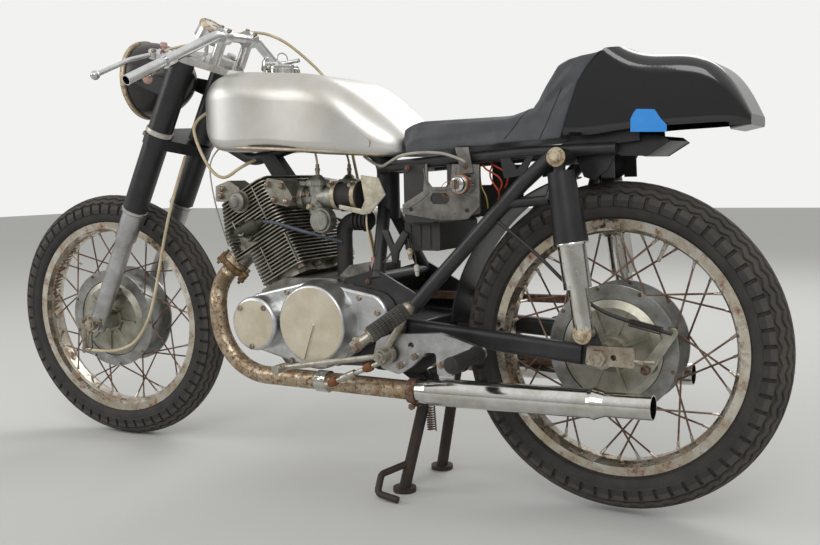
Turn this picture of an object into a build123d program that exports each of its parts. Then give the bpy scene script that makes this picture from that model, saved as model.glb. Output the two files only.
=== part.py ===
from build123d import *
from math import asin, atan2, cos, degrees, pi, radians, sin, sqrt, tan
import os

# A single-seat road racer: spine frame, inclined parallel twin, wire wheels.
# Millimetres. While it is built, x = 0 is the rear axle and -X is forward, y = 0 is the
# centre plane with -Y on the rider's left, and z = 0 is the floor under the parked machine.

# Chassis geometry
wheelbase = 1295.0
rake = 27.0
fork_offset = 50.0
steer_rest = 6.5
rear_lift = 9.0

# Wheels and tyres
front_tyre_radius = 308.0
rear_tyre_radius = 311.0
front_tyre_width = 78.0
rear_tyre_width = 90.0
rim_radius = 242.5
rim_width = 58.0
rim_wall = 3.0
rim_flange = 13.5
spoke_count = 36
spoke_radius = 1.9
spoke_lean = 34.0
hub_flange_radius = 122.0
hub_flange_wall = 5.0
hub_barrel_radius = 104.0
front_hub_half = 40.0
rear_hub_half = 46.0
drum_depth = 12.0
drum_wall = 8.0
axle_radius = 8.0
axle_clearance = 0.4
drum_clearance = 1.5

# Fork
leg_half_gap = 90.0
stanchion_radius = 16.5
slider_radius = 21.0
slider_top_radius = 25.0
slider_top = 330.0
slider_step = 235.0
cover_radius = 28.5
cover_wall = 2.0
lower_cover_bottom = 305.0
lower_yoke_bottom = 480.0
lower_yoke_height = 26.0
head_gap = 5.0
head_length = 172.0
head_radius = 27.0
stem_radius = 13.0
stem_clearance = 1.0
bridge_height = 15.0

# Handlebar and lamp
bar_radius = 11.0
bar_bore = 9.0
bar_bore_depth = 60.0
bar_half_width = 333.0
bar_end_drop = 113.0
bar_rise = 68.0
bar_bend_half = 78.0
riser_half_gap = 52.0
lamp_radius = 88.0
lamp_rim_radius = 93.0
lamp_depth = 132.0
lamp_reach = 186.0
lamp_height = 583.0
shell_wall = 2.0

# Frame and rear suspension
spine_radius = 24.0
rail_radius = 11.0
brace_radius = 14.0
frame_half = 112.0
pivot_x = -455.0
pivot_z = 345.0
arm_height = 38.0
arm_width = 26.0
shock_top = (-69.0, 676.0)
shock_foot = (-22.0, 364.0)
shock_half_gap = 136.0
shock_cover_radius = 28.0
shock_body_radius = 25.0
shock_rod_radius = 18.0

# Engine
crankcase_half = 112.0
barrel_tilt = 28.0
barrel_foot = (-709.0, 443.0)
fin_wall = 2.3
fin_pitch = 7.8
barrel_fins = 10
head_fins = 17
fin_half_width = 112.0
fin_front = -62.0
fin_back = 64.0
head_front = -104.0
bore_half_gap = 52.0
bore_radius = 44.0
pipe_radius = 19.0
pipe_y = 150.0
pipe_low_z = 231.0
muffler_radius = 26.5
muffler_tail_radius = 22.0
muffler_front_x = -372.0
muffler_end_x = 105.0
muffler_rise = 15.0
muffler_wall = 2.0
muffler_bore_depth = 70.0
carb_half_gap = 62.0
carb_x = -638.0
carb_z = 606.0
carb_bore = 15.0
chain_y = 72.0
chain_pitch = 15.875
drive_teeth = 15
driven_teeth = 30
drive_x = -515.0
drive_z = 352.0
chain_width = 16.0
chain_plate_height = 15.0

# Tank, seat and tail
tank_half_width = 134.0
tunnel_half_width = 34.0
tunnel_top = 836.0
seat_half_width = 112.0
tail_wall = 3.0
seat_seam = [(-75.0, 706.0), (-57.0, 760.0), (-41.0, 806.0), (-24.0, 832.0), (6.0, 862.0)]

# Stand
stand_pivot = (-375.0, 240.0)
stand_foot_x = -427.0
stand_half_gap = 78.0
stand_leg_radius = 12.0
stand_foot_radius = 24.0

# Worked out from the sizes above
rear_axle_z = rear_tyre_radius + rear_lift
axis_up = Vector(sin(radians(rake)), 0, cos(radians(rake)))
axis_back = Vector(cos(radians(rake)), 0, -sin(radians(rake)))
crown_radius = 44.0
wheel_lean = sin(radians(steer_rest)) * sin(radians(rake))
front_axle_z = (
    (front_tyre_radius - crown_radius) * sqrt(1 - wheel_lean**2)
    + crown_radius
    + fork_offset * sin(radians(rake)) * (1 - cos(radians(steer_rest)))
)
steer_foot = Vector(-wheelbase, 0, front_axle_z) + axis_back * fork_offset
lower_yoke_top = lower_yoke_bottom + lower_yoke_height
head_bottom = lower_yoke_top + head_gap
head_top = head_bottom + head_length
bridge_bottom = head_top + head_gap
bridge_top = bridge_bottom + bridge_height
bar_height = bridge_top + bar_rise

# The fork's own frame: x back from the steering axis, y to the rider's right, z up along the axis.
steer_plane = Plane(origin=steer_foot, x_dir=axis_back, z_dir=axis_up)
straight_ahead = steer_plane.location
at_rest = straight_ahead * Rotation(0, 0, steer_rest)

CENTRE = (Align.CENTER, Align.CENTER, Align.CENTER)
STANDING = (Align.CENTER, Align.CENTER, Align.MIN)


def rod(start, end, radius):
    """A round bar from one point to another."""
    start = Vector(*start)
    run = Vector(*end) - start
    return Plane(origin=start, z_dir=run) * Cylinder(radius, run.length, align=STANDING)


def across(x, z, radius, y_from, y_to):
    """A round bar that lies along Y."""
    return rod((x, y_from, z), (x, y_to, z), radius)


def side_plane(y):
    """A plane that is drawn on as seen from the rider's left: x to the rear, then z up."""
    return Plane(origin=(0, y, 0), x_dir=(1, 0, 0), z_dir=(0, -1, 0))


def slab(outline, y_from, y_to):
    """A side outline made solid between two places along Y."""
    return extrude(side_plane(y_to) * outline, amount=y_to - y_from, dir=(0, -1, 0))


def rounded(points, radius):
    """A closed outline with every corner rounded."""
    outline = Polygon(*points, align=None)
    return fillet(outline.vertices(), radius)


def discs_hull(discs):
    """The outline that a belt takes round some discs, each given as x, z, radius."""
    circles = Sketch() + [Pos(x, z) * Circle(radius) for x, z, radius in discs]
    return make_hull(circles.edges())


def both_sides(piece):
    """A piece and its mirror image across the centre plane."""
    return piece + mirror(piece, about=Plane.XZ)


def cable(points, diameter):
    """A tube on straight runs joined by the largest arcs that the runs allow."""
    corners = [Vector(*point) for point in points]
    radii = []
    for before, corner, after in zip(corners, corners[1:], corners[2:]):
        turn = (corner - before).get_angle(after - corner)
        shorter = min((corner - before).length, (after - corner).length)
        radii.append(0.45 * shorter / tan(radians(turn / 2)))
    path = FilletPolyline(*corners, radius=radii)
    tube = sweep(Plane(origin=path @ 0, z_dir=path % 0) * Circle(diameter / 2), path=path)
    print("cable", round(path.length), "mm, smallest bend", round(min(radii)), "mm")
    return tube


def bent_bar(points, bend, radius):
    """A round bar on straight runs, all its bends of one radius."""
    path = FilletPolyline(*[Vector(*point) for point in points], radius=bend)
    return sweep(Plane(origin=path @ 0, z_dir=path % 0) * Circle(radius), path=path)


def turned(profile, close=True):
    """A solid turned round the Y axis from a list of (y, radius) points."""
    outline = Polyline(*[(radius, y) for y, radius in profile], close=close)
    face = Plane(origin=(0, 0, 0), x_dir=(1, 0, 0), z_dir=(0, 0, 1)) * make_face(outline)
    return revolve(face, axis=Axis.Y)


# Tyres: a casing with rounded walls and crown, seated on the rim's bead seats
def tyre(outer_radius, width):
    seat = rim_radius - rim_flange
    inside = rim_width / 2 - rim_wall
    lip = rim_radius + 1.0
    half = width / 2
    belly = rim_radius + 0.42 * (outer_radius - rim_radius)
    shoulder = outer_radius - 0.2 * half
    shoulder_half = 0.74 * half
    bead = Polyline(
        (lip, -inside), (seat, -inside), (seat, inside), (lip, inside), (lip + 2, inside + rim_wall)
    )
    right_wall = ThreePointArc((lip + 2, inside + rim_wall), (belly, half), (shoulder, shoulder_half))
    crown = ThreePointArc((shoulder, shoulder_half), (outer_radius, 0), (shoulder, -shoulder_half))
    left_wall = ThreePointArc(
        (shoulder, -shoulder_half), (belly, -half), (lip + 2, -inside - rim_wall)
    )
    closing = Line((lip + 2, -inside - rim_wall), (lip, -inside))
    section = make_face([bead, right_wall, crown, left_wall, closing])
    return revolve(section, axis=Axis.Y)


# Wire wheel: rolled steel rim, alloy hub with a drum on the left, and crossed spokes
def wire_wheel(hub_half):
    seat = rim_radius - rim_flange
    inside = rim_width / 2 - rim_wall
    edge = rim_width / 2
    well_half = 0.3 * rim_width
    rim = turned([
        (-edge, rim_radius), (-inside, rim_radius), (-inside, seat), (-well_half, seat - 2),
        (-well_half + 4, seat - 8), (well_half - 4, seat - 8), (well_half, seat - 2),
        (inside, seat), (inside, rim_radius), (edge, rim_radius), (edge, seat - rim_wall),
        (well_half, seat - 8), (well_half - 6, seat - 12), (6 - well_half, seat - 12),
        (-well_half, seat - 8), (-edge, seat - rim_wall),
    ])
    flange_in = hub_half - hub_flange_wall
    drum = hub_barrel_radius - drum_wall
    bore = axle_radius + axle_clearance
    hub = turned([
        (-hub_half, drum), (-hub_half, hub_flange_radius), (-flange_in, hub_flange_radius),
        (-flange_in, hub_barrel_radius), (flange_in, hub_barrel_radius),
        (flange_in, hub_flange_radius), (hub_half, hub_flange_radius), (hub_half, 40),
        (hub_half - 6, 34), (hub_half - 6, bore), (drum_depth - hub_half, bore),
        (drum_depth - hub_half, drum),
    ])
    spoke_hole_radius = hub_flange_radius - 5.0
    rim_hole_radius = seat - 10.0
    spokes = []
    for number in range(spoke_count):
        side = -1 if number % 2 else 1
        lean = spoke_lean if number // 2 % 2 else -spoke_lean
        outer_face = 1 if number // 2 % 2 else 0
        rim_angle = 360 / spoke_count * number
        hub_angle = rim_angle + lean
        hub_y = side * (flange_in + hub_flange_wall * outer_face)
        start = (
            spoke_hole_radius * cos(radians(hub_angle)), hub_y, spoke_hole_radius * sin(radians(hub_angle))
        )
        end = (
            rim_hole_radius * cos(radians(rim_angle)), side * 7.0, rim_hole_radius * sin(radians(rim_angle))
        )
        spokes.append(rod(start, end, spoke_radius))
    return rim + hub + spokes


nodes = {}
front_wheel_place = at_rest * Pos(-fork_offset, 0, 0)
rear_wheel_place = Pos(0, 0, rear_axle_z)
nodes["front_tyre"] = front_wheel_place * tyre(front_tyre_radius, front_tyre_width)
nodes["rear_tyre"] = rear_wheel_place * tyre(rear_tyre_radius, rear_tyre_width)
nodes["front_wheel"] = front_wheel_place * wire_wheel(front_hub_half)

# Rear sprocket, bolted to the hub's right face by a boss
def pitch_radius(teeth):
    return chain_pitch / 2 / sin(pi / teeth)


sprocket_wall = 6.0
sprocket_disc = Cylinder(pitch_radius(driven_teeth) + 4.5, sprocket_wall, align=CENTRE)
tooth_gap = Cylinder(5.1, sprocket_wall + 1, align=CENTRE)
tooth_gaps = [
    Rotation(0, 0, 360 / driven_teeth * number) * Pos(pitch_radius(driven_teeth), 0, 0) * tooth_gap
    for number in range(driven_teeth)
]
sprocket = Pos(0, chain_y, 0) * Rotation(90, 0, 0) * (sprocket_disc - tooth_gaps)
sprocket_boss = rod((0, rear_hub_half - 1, 0), (0, chain_y, 0), 52.0)
sprocket_bore = rod((0, rear_hub_half - 7, 0), (0, chain_y + sprocket_wall, 0), axle_radius + axle_clearance)
nodes["rear_wheel"] = rear_wheel_place * (wire_wheel(rear_hub_half) + sprocket + sprocket_boss - sprocket_bore)

# Fork: stanchions in two yokes, sliders with axle lugs, and covers with the lamp's ears
leg_places = [Pos(-fork_offset, side * leg_half_gap, 0) for side in (-1, 1)]
axle_lug_radius = 20.0
lug_half = slider_radius + 1.0
axle_hole = rod((-fork_offset, -200, 0), (-fork_offset, 200, 0), axle_radius)
slider = (
    Pos(0, 0, -axle_lug_radius + 4) * Cylinder(slider_radius, slider_step + axle_lug_radius - 4, align=STANDING)
    + Pos(0, 0, slider_step) * Cylinder(slider_top_radius, slider_top - slider_step, align=STANDING)
    + rod((0, -lug_half, 0), (0, lug_half, 0), axle_lug_radius)
    + Pos(0, 0, slider_top - 1) * Cylinder(stanchion_radius, bridge_top - slider_top - 2, align=STANDING)
)
nodes["fork_sliders"] = at_rest * (Part() + [place * slider for place in leg_places] - axle_hole)

yoke_outline = discs_hull([(-fork_offset, -leg_half_gap, 31.0), (-fork_offset, leg_half_gap, 31.0), (0, 0, 30.0)])
leg_holes = [place * Cylinder(stanchion_radius, 2000, align=CENTRE) for place in leg_places]
lower_yoke = extrude(Pos(0, 0, lower_yoke_bottom) * yoke_outline, amount=lower_yoke_height)
bridge_outline = discs_hull([
    (-fork_offset, -leg_half_gap, 27.0), (-fork_offset, leg_half_gap, 27.0), (14, -26, 18.0), (14, 26, 18.0)
])
top_bridge = extrude(Pos(0, 0, bridge_bottom) * bridge_outline, amount=bridge_height)
stem = Pos(0, 0, lower_yoke_bottom) * Cylinder(stem_radius, bridge_top - lower_yoke_bottom, align=STANDING)
stem_nut = Pos(0, 0, bridge_top) * extrude(RegularPolygon(19.0, 6), amount=14)
risers = Part()
bar_clamps = Part()
for side in (-1, 1):
    riser_place = Pos(5, side * riser_half_gap, 0)
    risers += riser_place * Pos(0, 0, bridge_top) * Cylinder(12.0, bar_rise - bar_radius + 2, align=STANDING)
    bar_clamps += Pos(5, side * riser_half_gap, bar_height) * Rotation(90, 0, 0) * Cylinder(
        bar_radius + 8, 28.0, align=CENTRE
    )
yokes = lower_yoke + top_bridge - leg_holes + stem + stem_nut + risers

bar_points = [
    (9, -bar_half_width, bar_height - bar_end_drop), (5, -bar_bend_half, bar_height),
    (5, bar_bend_half, bar_height), (9, bar_half_width, bar_height - bar_end_drop),
]
bar_solid = bent_bar(bar_points, 70.0, bar_radius)
yokes = yokes + bar_clamps - bar_solid
nodes["fork_yokes"] = at_rest * yokes
bar_slope = Vector(*bar_points[1]) - Vector(*bar_points[0])
bar_slope = bar_slope / bar_slope.length
bar_end = Vector(*bar_points[0])
left_bore = rod(bar_end - bar_slope, bar_end + bar_slope * bar_bore_depth, bar_bore)
handlebar = bar_solid - both_sides(left_bore)

cover_top_length = bridge_bottom - lower_yoke_top
lower_cover_length = lower_yoke_bottom - lower_cover_bottom
upper_cover = Pos(0, 0, lower_yoke_top) * (
    Cylinder(cover_radius, cover_top_length, align=STANDING)
    - Cylinder(cover_radius - cover_wall, cover_top_length, align=STANDING)
)
lower_cover = Pos(0, 0, lower_cover_bottom) * (
    Cylinder(cover_radius, lower_cover_length, align=STANDING)
    - Cylinder(cover_radius - cover_wall, lower_cover_length, align=STANDING)
)

# Headlamp: a bowl between the legs that looks straight ahead, with a rim and a domed lens
lamp_centre = Vector(-lamp_reach, 0, lamp_height)
lamp_forward = Vector(-cos(radians(rake)), 0, -sin(radians(rake)))
lamp_plane = Plane(origin=lamp_centre, x_dir=(0, 1, 0), z_dir=lamp_forward)


def bowl(radius, depth):
    """The rear half of an egg, open at the front, turned round the lamp's axis."""
    arc = ThreePointArc((0, -depth), (0.76 * radius, -0.6 * depth), (radius, 0))
    face = make_face([arc, Line((radius, 0), (0, 0)), Line((0, 0), (0, -depth))])
    return revolve(Plane.XZ * face, axis=Axis.Z)


lamp_bolt_back = 38.0
lamp_bolt = lamp_centre - lamp_forward * lamp_bolt_back
lamp_bolts = rod((lamp_bolt.X, -leg_half_gap - 4, lamp_bolt.Z), (lamp_bolt.X, leg_half_gap + 4, lamp_bolt.Z), 6.0)
lamp_shell = lamp_plane.location * (bowl(lamp_radius, lamp_depth) - bowl(lamp_radius - shell_wall, lamp_depth - shell_wall))
nodes["headlamp_shell"] = at_rest * (lamp_shell - lamp_bolts)
rim_section = Polyline(
    (lamp_radius - 12, 2), (lamp_radius - 2, 0), (lamp_rim_radius, 0), (lamp_rim_radius, 10),
    (lamp_radius - 2, 17), (lamp_radius - 12, 17), close=True
)
lamp_rim = revolve(Plane.XZ * make_face(rim_section), axis=Axis.Z)
lens_arc = ThreePointArc((0, 24), (lamp_radius / 2, 21), (lamp_radius - 12, 14))
lens_face = make_face([lens_arc, Polyline((lamp_radius - 12, 14), (lamp_radius - 12, 8), (0, 8), (0, 24))])
lamp_lens = revolve(Plane.XZ * lens_face, axis=Axis.Z)
nodes["headlamp_rim"] = at_rest * (lamp_plane.location * (lamp_rim + lamp_lens))

ear_outline = Plane.XZ * discs_hull([
    (-fork_offset - 12, lamp_bolt.Z + 14, 22.0), (lamp_bolt.X, lamp_bolt.Z, 13.0)
])
ear_face_y = lamp_radius + 1
ear = Pos(0, ear_face_y, 0) * extrude(ear_outline, amount=4.0, dir=(0, 1, 0)) - [
    Pos(-fork_offset, leg_half_gap, 0) * Cylinder(cover_radius - cover_wall, 2000, align=CENTRE)
]
ear_bolt = rod((lamp_bolt.X, lamp_radius - 6, lamp_bolt.Z), (lamp_bolt.X, ear_face_y + 8, lamp_bolt.Z), 6.0)
covers = Part() + [place * (upper_cover + lower_cover) for place in leg_places]
nodes["fork_covers"] = at_rest * (covers + both_sides(ear + ear_bolt))

# Levers on their perches, left for the clutch and right for the front brake; a thin shim
# under each perch ends the bare seat of the grip
perch_at = 0.44
perch_length = 24.0
shim_wall = 0.6
perch_point = bar_end + (Vector(*bar_points[1]) - bar_end) * perch_at
perch_plane = Plane(origin=perch_point, x_dir=(-1, 0, 0), z_dir=bar_slope)
perch_shim = perch_plane.location * Cylinder(bar_radius + shim_wall, perch_length, align=CENTRE)
nodes["handlebar"] = at_rest * (handlebar + both_sides(perch_shim))
perch = perch_plane.location * (
    Cylinder(bar_radius + 5, perch_length, align=CENTRE)
    + Pos(20, 0, 0) * Box(24, 16, 20)
    + Pos(34, 0, -6) * Rotation(90, 0, 0) * Cylinder(11, 14, align=CENTRE)
) - bar_solid - perch_shim
lever_path = [(34, 0, -8), (50, 0, -60), (52, 0, -150)]
lever = perch_plane.location * (
    bent_bar(lever_path, 40.0, 5.0) + Pos(52, 0, -154) * Sphere(9.5)
)
nodes["control_levers"] = at_rest * both_sides(perch + lever)

# Small clock beside the lamp's top
gauge_plane = Plane(origin=(-62, -12, bar_height - 32), z_dir=(0.2, 0, 1))
gauge = gauge_plane.location * (
    Cylinder(30, 30, align=STANDING) + Pos(0, 0, 30) * Cone(30, 24, 6, align=STANDING)
)
gauge_stalk = rod((-50, -12, bridge_top + 1.5), (-60, -12, bar_height - 31), 5.0)
nodes["speed_clock"] = at_rest * (gauge + gauge_stalk)

# Front axle, brake plate and brake cable
axle_half = leg_half_gap + lug_half + 15
front_axle = rod((-fork_offset, -axle_half, 0), (-fork_offset, axle_half, 0), axle_radius)
axle_nut = Pos(-fork_offset, 0, 0) * Rotation(90, 0, 0) * Pos(0, 0, leg_half_gap + lug_half) * extrude(
    RegularPolygon(15.0, 6), amount=12
)
right_spacer = rod((-fork_offset, front_hub_half - 5, 0), (-fork_offset, leg_half_gap - lug_half, 0), 13.0)
nodes["front_axle"] = at_rest * (front_axle + both_sides(axle_nut) + right_spacer)

plate_wall = 9.0
plate_radius = hub_barrel_radius - drum_wall - drum_clearance


def brake_plate(hub_half, boss_y):
    """The fixed plate that closes a drum, with ribs, a cam boss and an axle boss."""
    inner_y = -hub_half + drum_depth - plate_wall - 2.0 + plate_wall
    disc = turned([
        (inner_y, axle_radius), (inner_y, plate_radius), (inner_y - plate_wall, plate_radius),
        (inner_y - plate_wall - 8, plate_radius - 14), (inner_y - plate_wall - 8, 40),
        (inner_y - plate_wall - 4, 30), (inner_y - plate_wall - 4, axle_radius),
    ])
    boss = rod((0, boss_y, 0), (0, inner_y - 4, 0), 24.0)
    face_y = inner_y - plate_wall - 8
    rib = Pos(plate_radius - 40, face_y - 1, 0) * Box(46, 5, 5)
    ribs = [Rotation(0, 22.5 + angle, 0) * rib for angle in range(0, 360, 45)]
    return disc + boss + ribs - rod((0, -300, 0), (0, 300, 0), axle_radius)


front_plate = brake_plate(front_hub_half, -leg_half_gap + lug_half)
cam_arm_y = -front_hub_half - 38
front_cam = rod((-40, cam_arm_y - 6, -19), (-40, -front_hub_half + 2, -19), 12.0)
front_arm = slab(discs_hull([(-40, -19, 11.0), (-5, -85, 7.0)]), cam_arm_y - 6, cam_arm_y)
anchor = slab(discs_hull([(-20, 52, 10.0), (-4, 78, 10.0)]), -leg_half_gap + slider_radius + 1.5, -front_hub_half)
nodes["front_brake_plate"] = front_wheel_place * (front_plate + front_cam + front_arm + anchor)

# Frame: a steering head, one spine, rear rails, shock mounts and plates that carry the pivot
def on_axis(height, back=0.0):
    """A place on the steering axis, or behind it, as a point of the machine."""
    return steer_foot + axis_up * height + axis_back * back


steering_head = straight_ahead * Pos(0, 0, head_bottom) * Cylinder(head_radius, head_length, align=STANDING)
head_bore = straight_ahead * Cylinder(stem_radius + stem_clearance, 2000, align=STANDING)
spine_front = on_axis(head_bottom + 90)
spine_rear = (-500.0, 0, 690.0)
spine = bent_bar([spine_front, (-880.0, 0, 786.0), (-640.0, 0, 770.0), spine_rear, (-500.0, 0, 560.0)], 60.0, spine_radius)
lower_brace = bent_bar([on_axis(head_bottom + 28), (-860.0, 0, 690.0), (-640.0, 0, 745.0)], 60.0, brace_radius)
engine_hanger = slab(Polygon((-830, 700), (-790, 705), (-748, 652), (-796, 652), align=None), -14, 14)
frame_spine = steering_head + spine + lower_brace + engine_hanger - head_bore
nodes["frame_spine"] = frame_spine

rail_y = frame_half - 20
top_rail = bent_bar(
    [(-497.0, -30, 664.0), (-440.0, -rail_y, 668.0), (-150.0, -rail_y, 687.0), (20.0, -rail_y + 6, 690.0)],
    40.0, rail_radius,
)
diagonal = bent_bar(
    [(-385.0, -frame_half + 3, 388.0), (-150.0, -frame_half, 628.0), (-96.0, -rail_y - 2, 680.0)],
    60.0, brace_radius,
)
stub = rod((-190.0, -frame_half, 592.0), (-96.0, -frame_half, 600.0), 9.0)
stub_post = rod((-96.0, -frame_half, 600.0), (-74.0, -frame_half + 8, 676.0), 9.0)
shock_lug = across(shock_top[0], shock_top[1], 15.0, -shock_half_gap + 14, -rail_y + 6)
shock_pin = across(shock_top[0], shock_top[1], 6.0, -shock_half_gap - 16, -rail_y)
gusset = slab(Polygon((-200, 690), (-126, 690), (-150, 646), (-190, 640), align=None), -rail_y - 8, -rail_y - 4)
gusset -= slab(Polygon((-178, 678), (-144, 678), (-164, 656), align=None), -200, 0)
tail_strap = slab(
    Polygon(
        (-44, 703), (-40, 697), (-10, 688), (-12, 638), (12, 638), (10, 684), (24, 678), (71, 677), (108, 699),
        (104, 705), (69, 684), (25, 685), (9, 691), (-6, 696), align=None,
    ),
    -72, -68,
)
side_members = top_rail + diagonal + stub + stub_post + shock_lug + shock_pin + gusset + tail_strap
plate_y = frame_half - 10
plate_wall_y = 6.0
pivot_plate = slab(
    rounded(
        [(-548, 284), (-548, 440), (-470, 462), (-372, 412), (-362, 380), (-400, 366), (-408, 312),
         (-332, 309), (-326, 290), (-372, 256), (-470, 256)], 8,
    ),
    -plate_y - plate_wall_y, -plate_y,
)
down_post = rod((-500.0, -20, 575.0), (-470.0, -plate_y, 440.0), brace_radius)
cross_tubes = (
    across(-470, 440, brace_radius, -plate_y, plate_y)
    + across(-440, 668, rail_radius, -rail_y, rail_y)
    + across(-2, 690, 9.0, -rail_y + 5, rail_y - 5)
    + across(shock_top[0], shock_top[1], 12.0, -rail_y, rail_y)
)
pivot_bolt_hole = across(pivot_x, pivot_z, 9.0, -200, 200)
engine_bolt_holes = [across(-530, z, 6.0, -200, 200) for z in (300, 425)]
frame_rear = both_sides(side_members + pivot_plate + down_post) + cross_tubes
nodes["frame_rear"] = frame_rear - pivot_bolt_hole - engine_bolt_holes - spine

# Swinging arm: a cross tube on the pivot bolt, two oval arms, slotted ends and shock lugs
arm_y = frame_half
arm_profile = fillet(Rectangle(arm_height, arm_width).vertices(), 11.0)
arm_start = Vector(pivot_x + 10, -frame_half + 30, pivot_z)
arm_run = Vector(-32, -arm_y, rear_axle_z + 2) - arm_start
arm = extrude(Plane(origin=arm_start, x_dir=(0, 0, 1), z_dir=arm_run) * arm_profile, amount=arm_run.length)
arm_end = slab(
    rounded([(-34, rear_axle_z - 16), (-34, rear_axle_z + 18), (16, rear_axle_z + 16), (40, rear_axle_z + 12), (40, rear_axle_z - 15)], 6),
    -arm_y - 4, -arm_y + 4,
)
shock_ear = slab(
    discs_hull([(shock_foot[0], shock_foot[1], 13.0), (shock_foot[0] + 8, shock_foot[1] - 40, 20.0)]), -arm_y - 4, -arm_y + 4
)
shock_foot_pin = across(shock_foot[0], shock_foot[1], 6.0, -shock_half_gap - 16, -arm_y)
pivot_tube_half = plate_y - 1
pivot_tube = across(pivot_x, pivot_z, 21.0, -pivot_tube_half, pivot_tube_half)
arm_bridge = slab(rounded([(-452, 330), (-452, 362), (-380, 356), (-380, 326)], 5), -frame_half + 30, frame_half - 30)
swingarm = both_sides(arm + arm_end + shock_ear + shock_foot_pin) + pivot_tube + arm_bridge
arm_slot = slab(discs_hull([(-2, rear_axle_z, 8.3), (24, rear_axle_z, 8.3)]), -200, 200)
nodes["swingarm"] = swingarm - arm_slot - pivot_bolt_hole

pivot_bolt = across(pivot_x, pivot_z, 8.8, -plate_y - 9, plate_y + 9)
axle = across(0, rear_axle_z, axle_radius, -arm_y - 26, arm_y + 26)
nut = Pos(0, 0, rear_axle_z) * Rotation(90, 0, 0) * Pos(0, 0, arm_y + 9) * extrude(RegularPolygon(16.0, 6), amount=14)
adjuster_y = arm_y + 4.2
adjuster = slab(
    rounded([(-26, rear_axle_z - 15), (-22, rear_axle_z + 20), (64, rear_axle_z + 21), (64, rear_axle_z - 15)], 5),
    -adjuster_y - 5, -adjuster_y,
) - across(0, rear_axle_z, axle_radius, -200, 200) - across(26, rear_axle_z + 1, 5.5, -200, 0)
puller_y = adjuster_y + 2.5
puller = rod((62, -puller_y, rear_axle_z - 3), (100, -puller_y, rear_axle_z - 2), 4.0)
puller += Plane(origin=(72, -puller_y, rear_axle_z - 2.7), z_dir=(1, 0, 0)).location * extrude(
    RegularPolygon(8.0, 6), amount=8
)
adjuster += puller
wheel_spacer = across(0, rear_axle_z, 13.0, chain_y + sprocket_wall + 0.5, arm_y - 4.2) - axle
nodes["rear_axle"] = axle + both_sides(nut + adjuster) + wheel_spacer
engine_studs = [across(-530, z, 6.0, -plate_y - 9, plate_y + 9) for z in (300, 425)]
nodes["frame_bolts"] = pivot_bolt + engine_studs

rear_plate = brake_plate(rear_hub_half, -arm_y + 4.2)
rear_cam_y = -rear_hub_half - 34
rear_cam = rod((74, rear_cam_y - 6, -24), (74, -rear_hub_half + 2, -24), 12.0)
rear_arm = slab(discs_hull([(74, -24, 11.0), (121, 46, 8.0)]), rear_cam_y - 6, rear_cam_y)
nodes["rear_brake_plate"] = rear_wheel_place * (rear_plate + rear_cam + rear_arm)

# Shock absorbers: black covers above, plated bodies below, on the frame's and the arm's pins
shock_run = Vector(shock_foot[0] - shock_top[0], 0, shock_foot[1] - shock_top[1])
shock_length = shock_run.length
shock_covers = Part()
shock_bodies = Part()
for side in (-1, 1):
    shock_plane = Plane(origin=(shock_top[0], side * shock_half_gap, shock_top[1]), x_dir=(0, 1, 0), z_dir=shock_run)
    top_eye = rod((shock_top[0], side * (shock_half_gap - 13), shock_top[1]), (shock_top[0], side * (shock_half_gap + 13), shock_top[1]), 16.0)
    foot_eye = rod((shock_foot[0], side * (shock_half_gap - 13), shock_foot[1]), (shock_foot[0], side * (shock_half_gap + 13), shock_foot[1]), 16.0)
    cover = shock_plane.location * (
        Pos(0, 0, 26) * Cone(shock_cover_radius - 4, shock_cover_radius + 3, shock_length * 0.40, align=STANDING)
    )
    body = shock_plane.location * (
        Pos(0, 0, 26 + shock_length * 0.40) * Cylinder(shock_body_radius, shock_length * 0.26, align=STANDING)
        + Pos(0, 0, 26 + shock_length * 0.66) * Cylinder(shock_rod_radius, shock_length * 0.34 - 32, align=STANDING)
    )
    neck = shock_plane.location * Cylinder(9.0, 26, align=STANDING)
    top_hole = rod((shock_top[0], side * 20, shock_top[1]), (shock_top[0], side * 200, shock_top[1]), 6.0)
    foot_hole = rod((shock_foot[0], side * 20, shock_foot[1]), (shock_foot[0], side * 200, shock_foot[1]), 6.0)
    shock_covers += cover + neck + top_eye - top_hole
    shock_bodies += body + foot_eye - foot_hole
nodes["shock_covers"] = shock_covers
nodes["shock_bodies"] = shock_bodies

# Engine: crankcase, side covers, finned barrel and head leaning forward
crankcase = slab(
    rounded(
        [(-770, 330), (-760, 408), (-700, 436), (-600, 440), (-408, 434), (-395, 330), (-440, 262), (-700, 250)], 10,
    ),
    -crankcase_half, crankcase_half,
) + slab(rounded([(-604, 424), (-560, 464), (-460, 464), (-460, 424)], 8), -66, 66)
swingarm_gap = slab(Polygon((-512, 200), (-512, 500), (-300, 500), (-300, 200), align=None), -200, 200)
plate_gap = slab(Polygon((-562, 200), (-562, 500), (-300, 500), (-300, 200), align=None), -200, -plate_y + 1)
chain_pocket = slab(discs_hull([(drive_x, drive_z, 52.0), (drive_x + 100, drive_z, 60.0)]), chain_y - 14, 200)
nodes["crankcase"] = crankcase - swingarm_gap - both_sides(plate_gap) - chain_pocket - engine_bolt_holes

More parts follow.
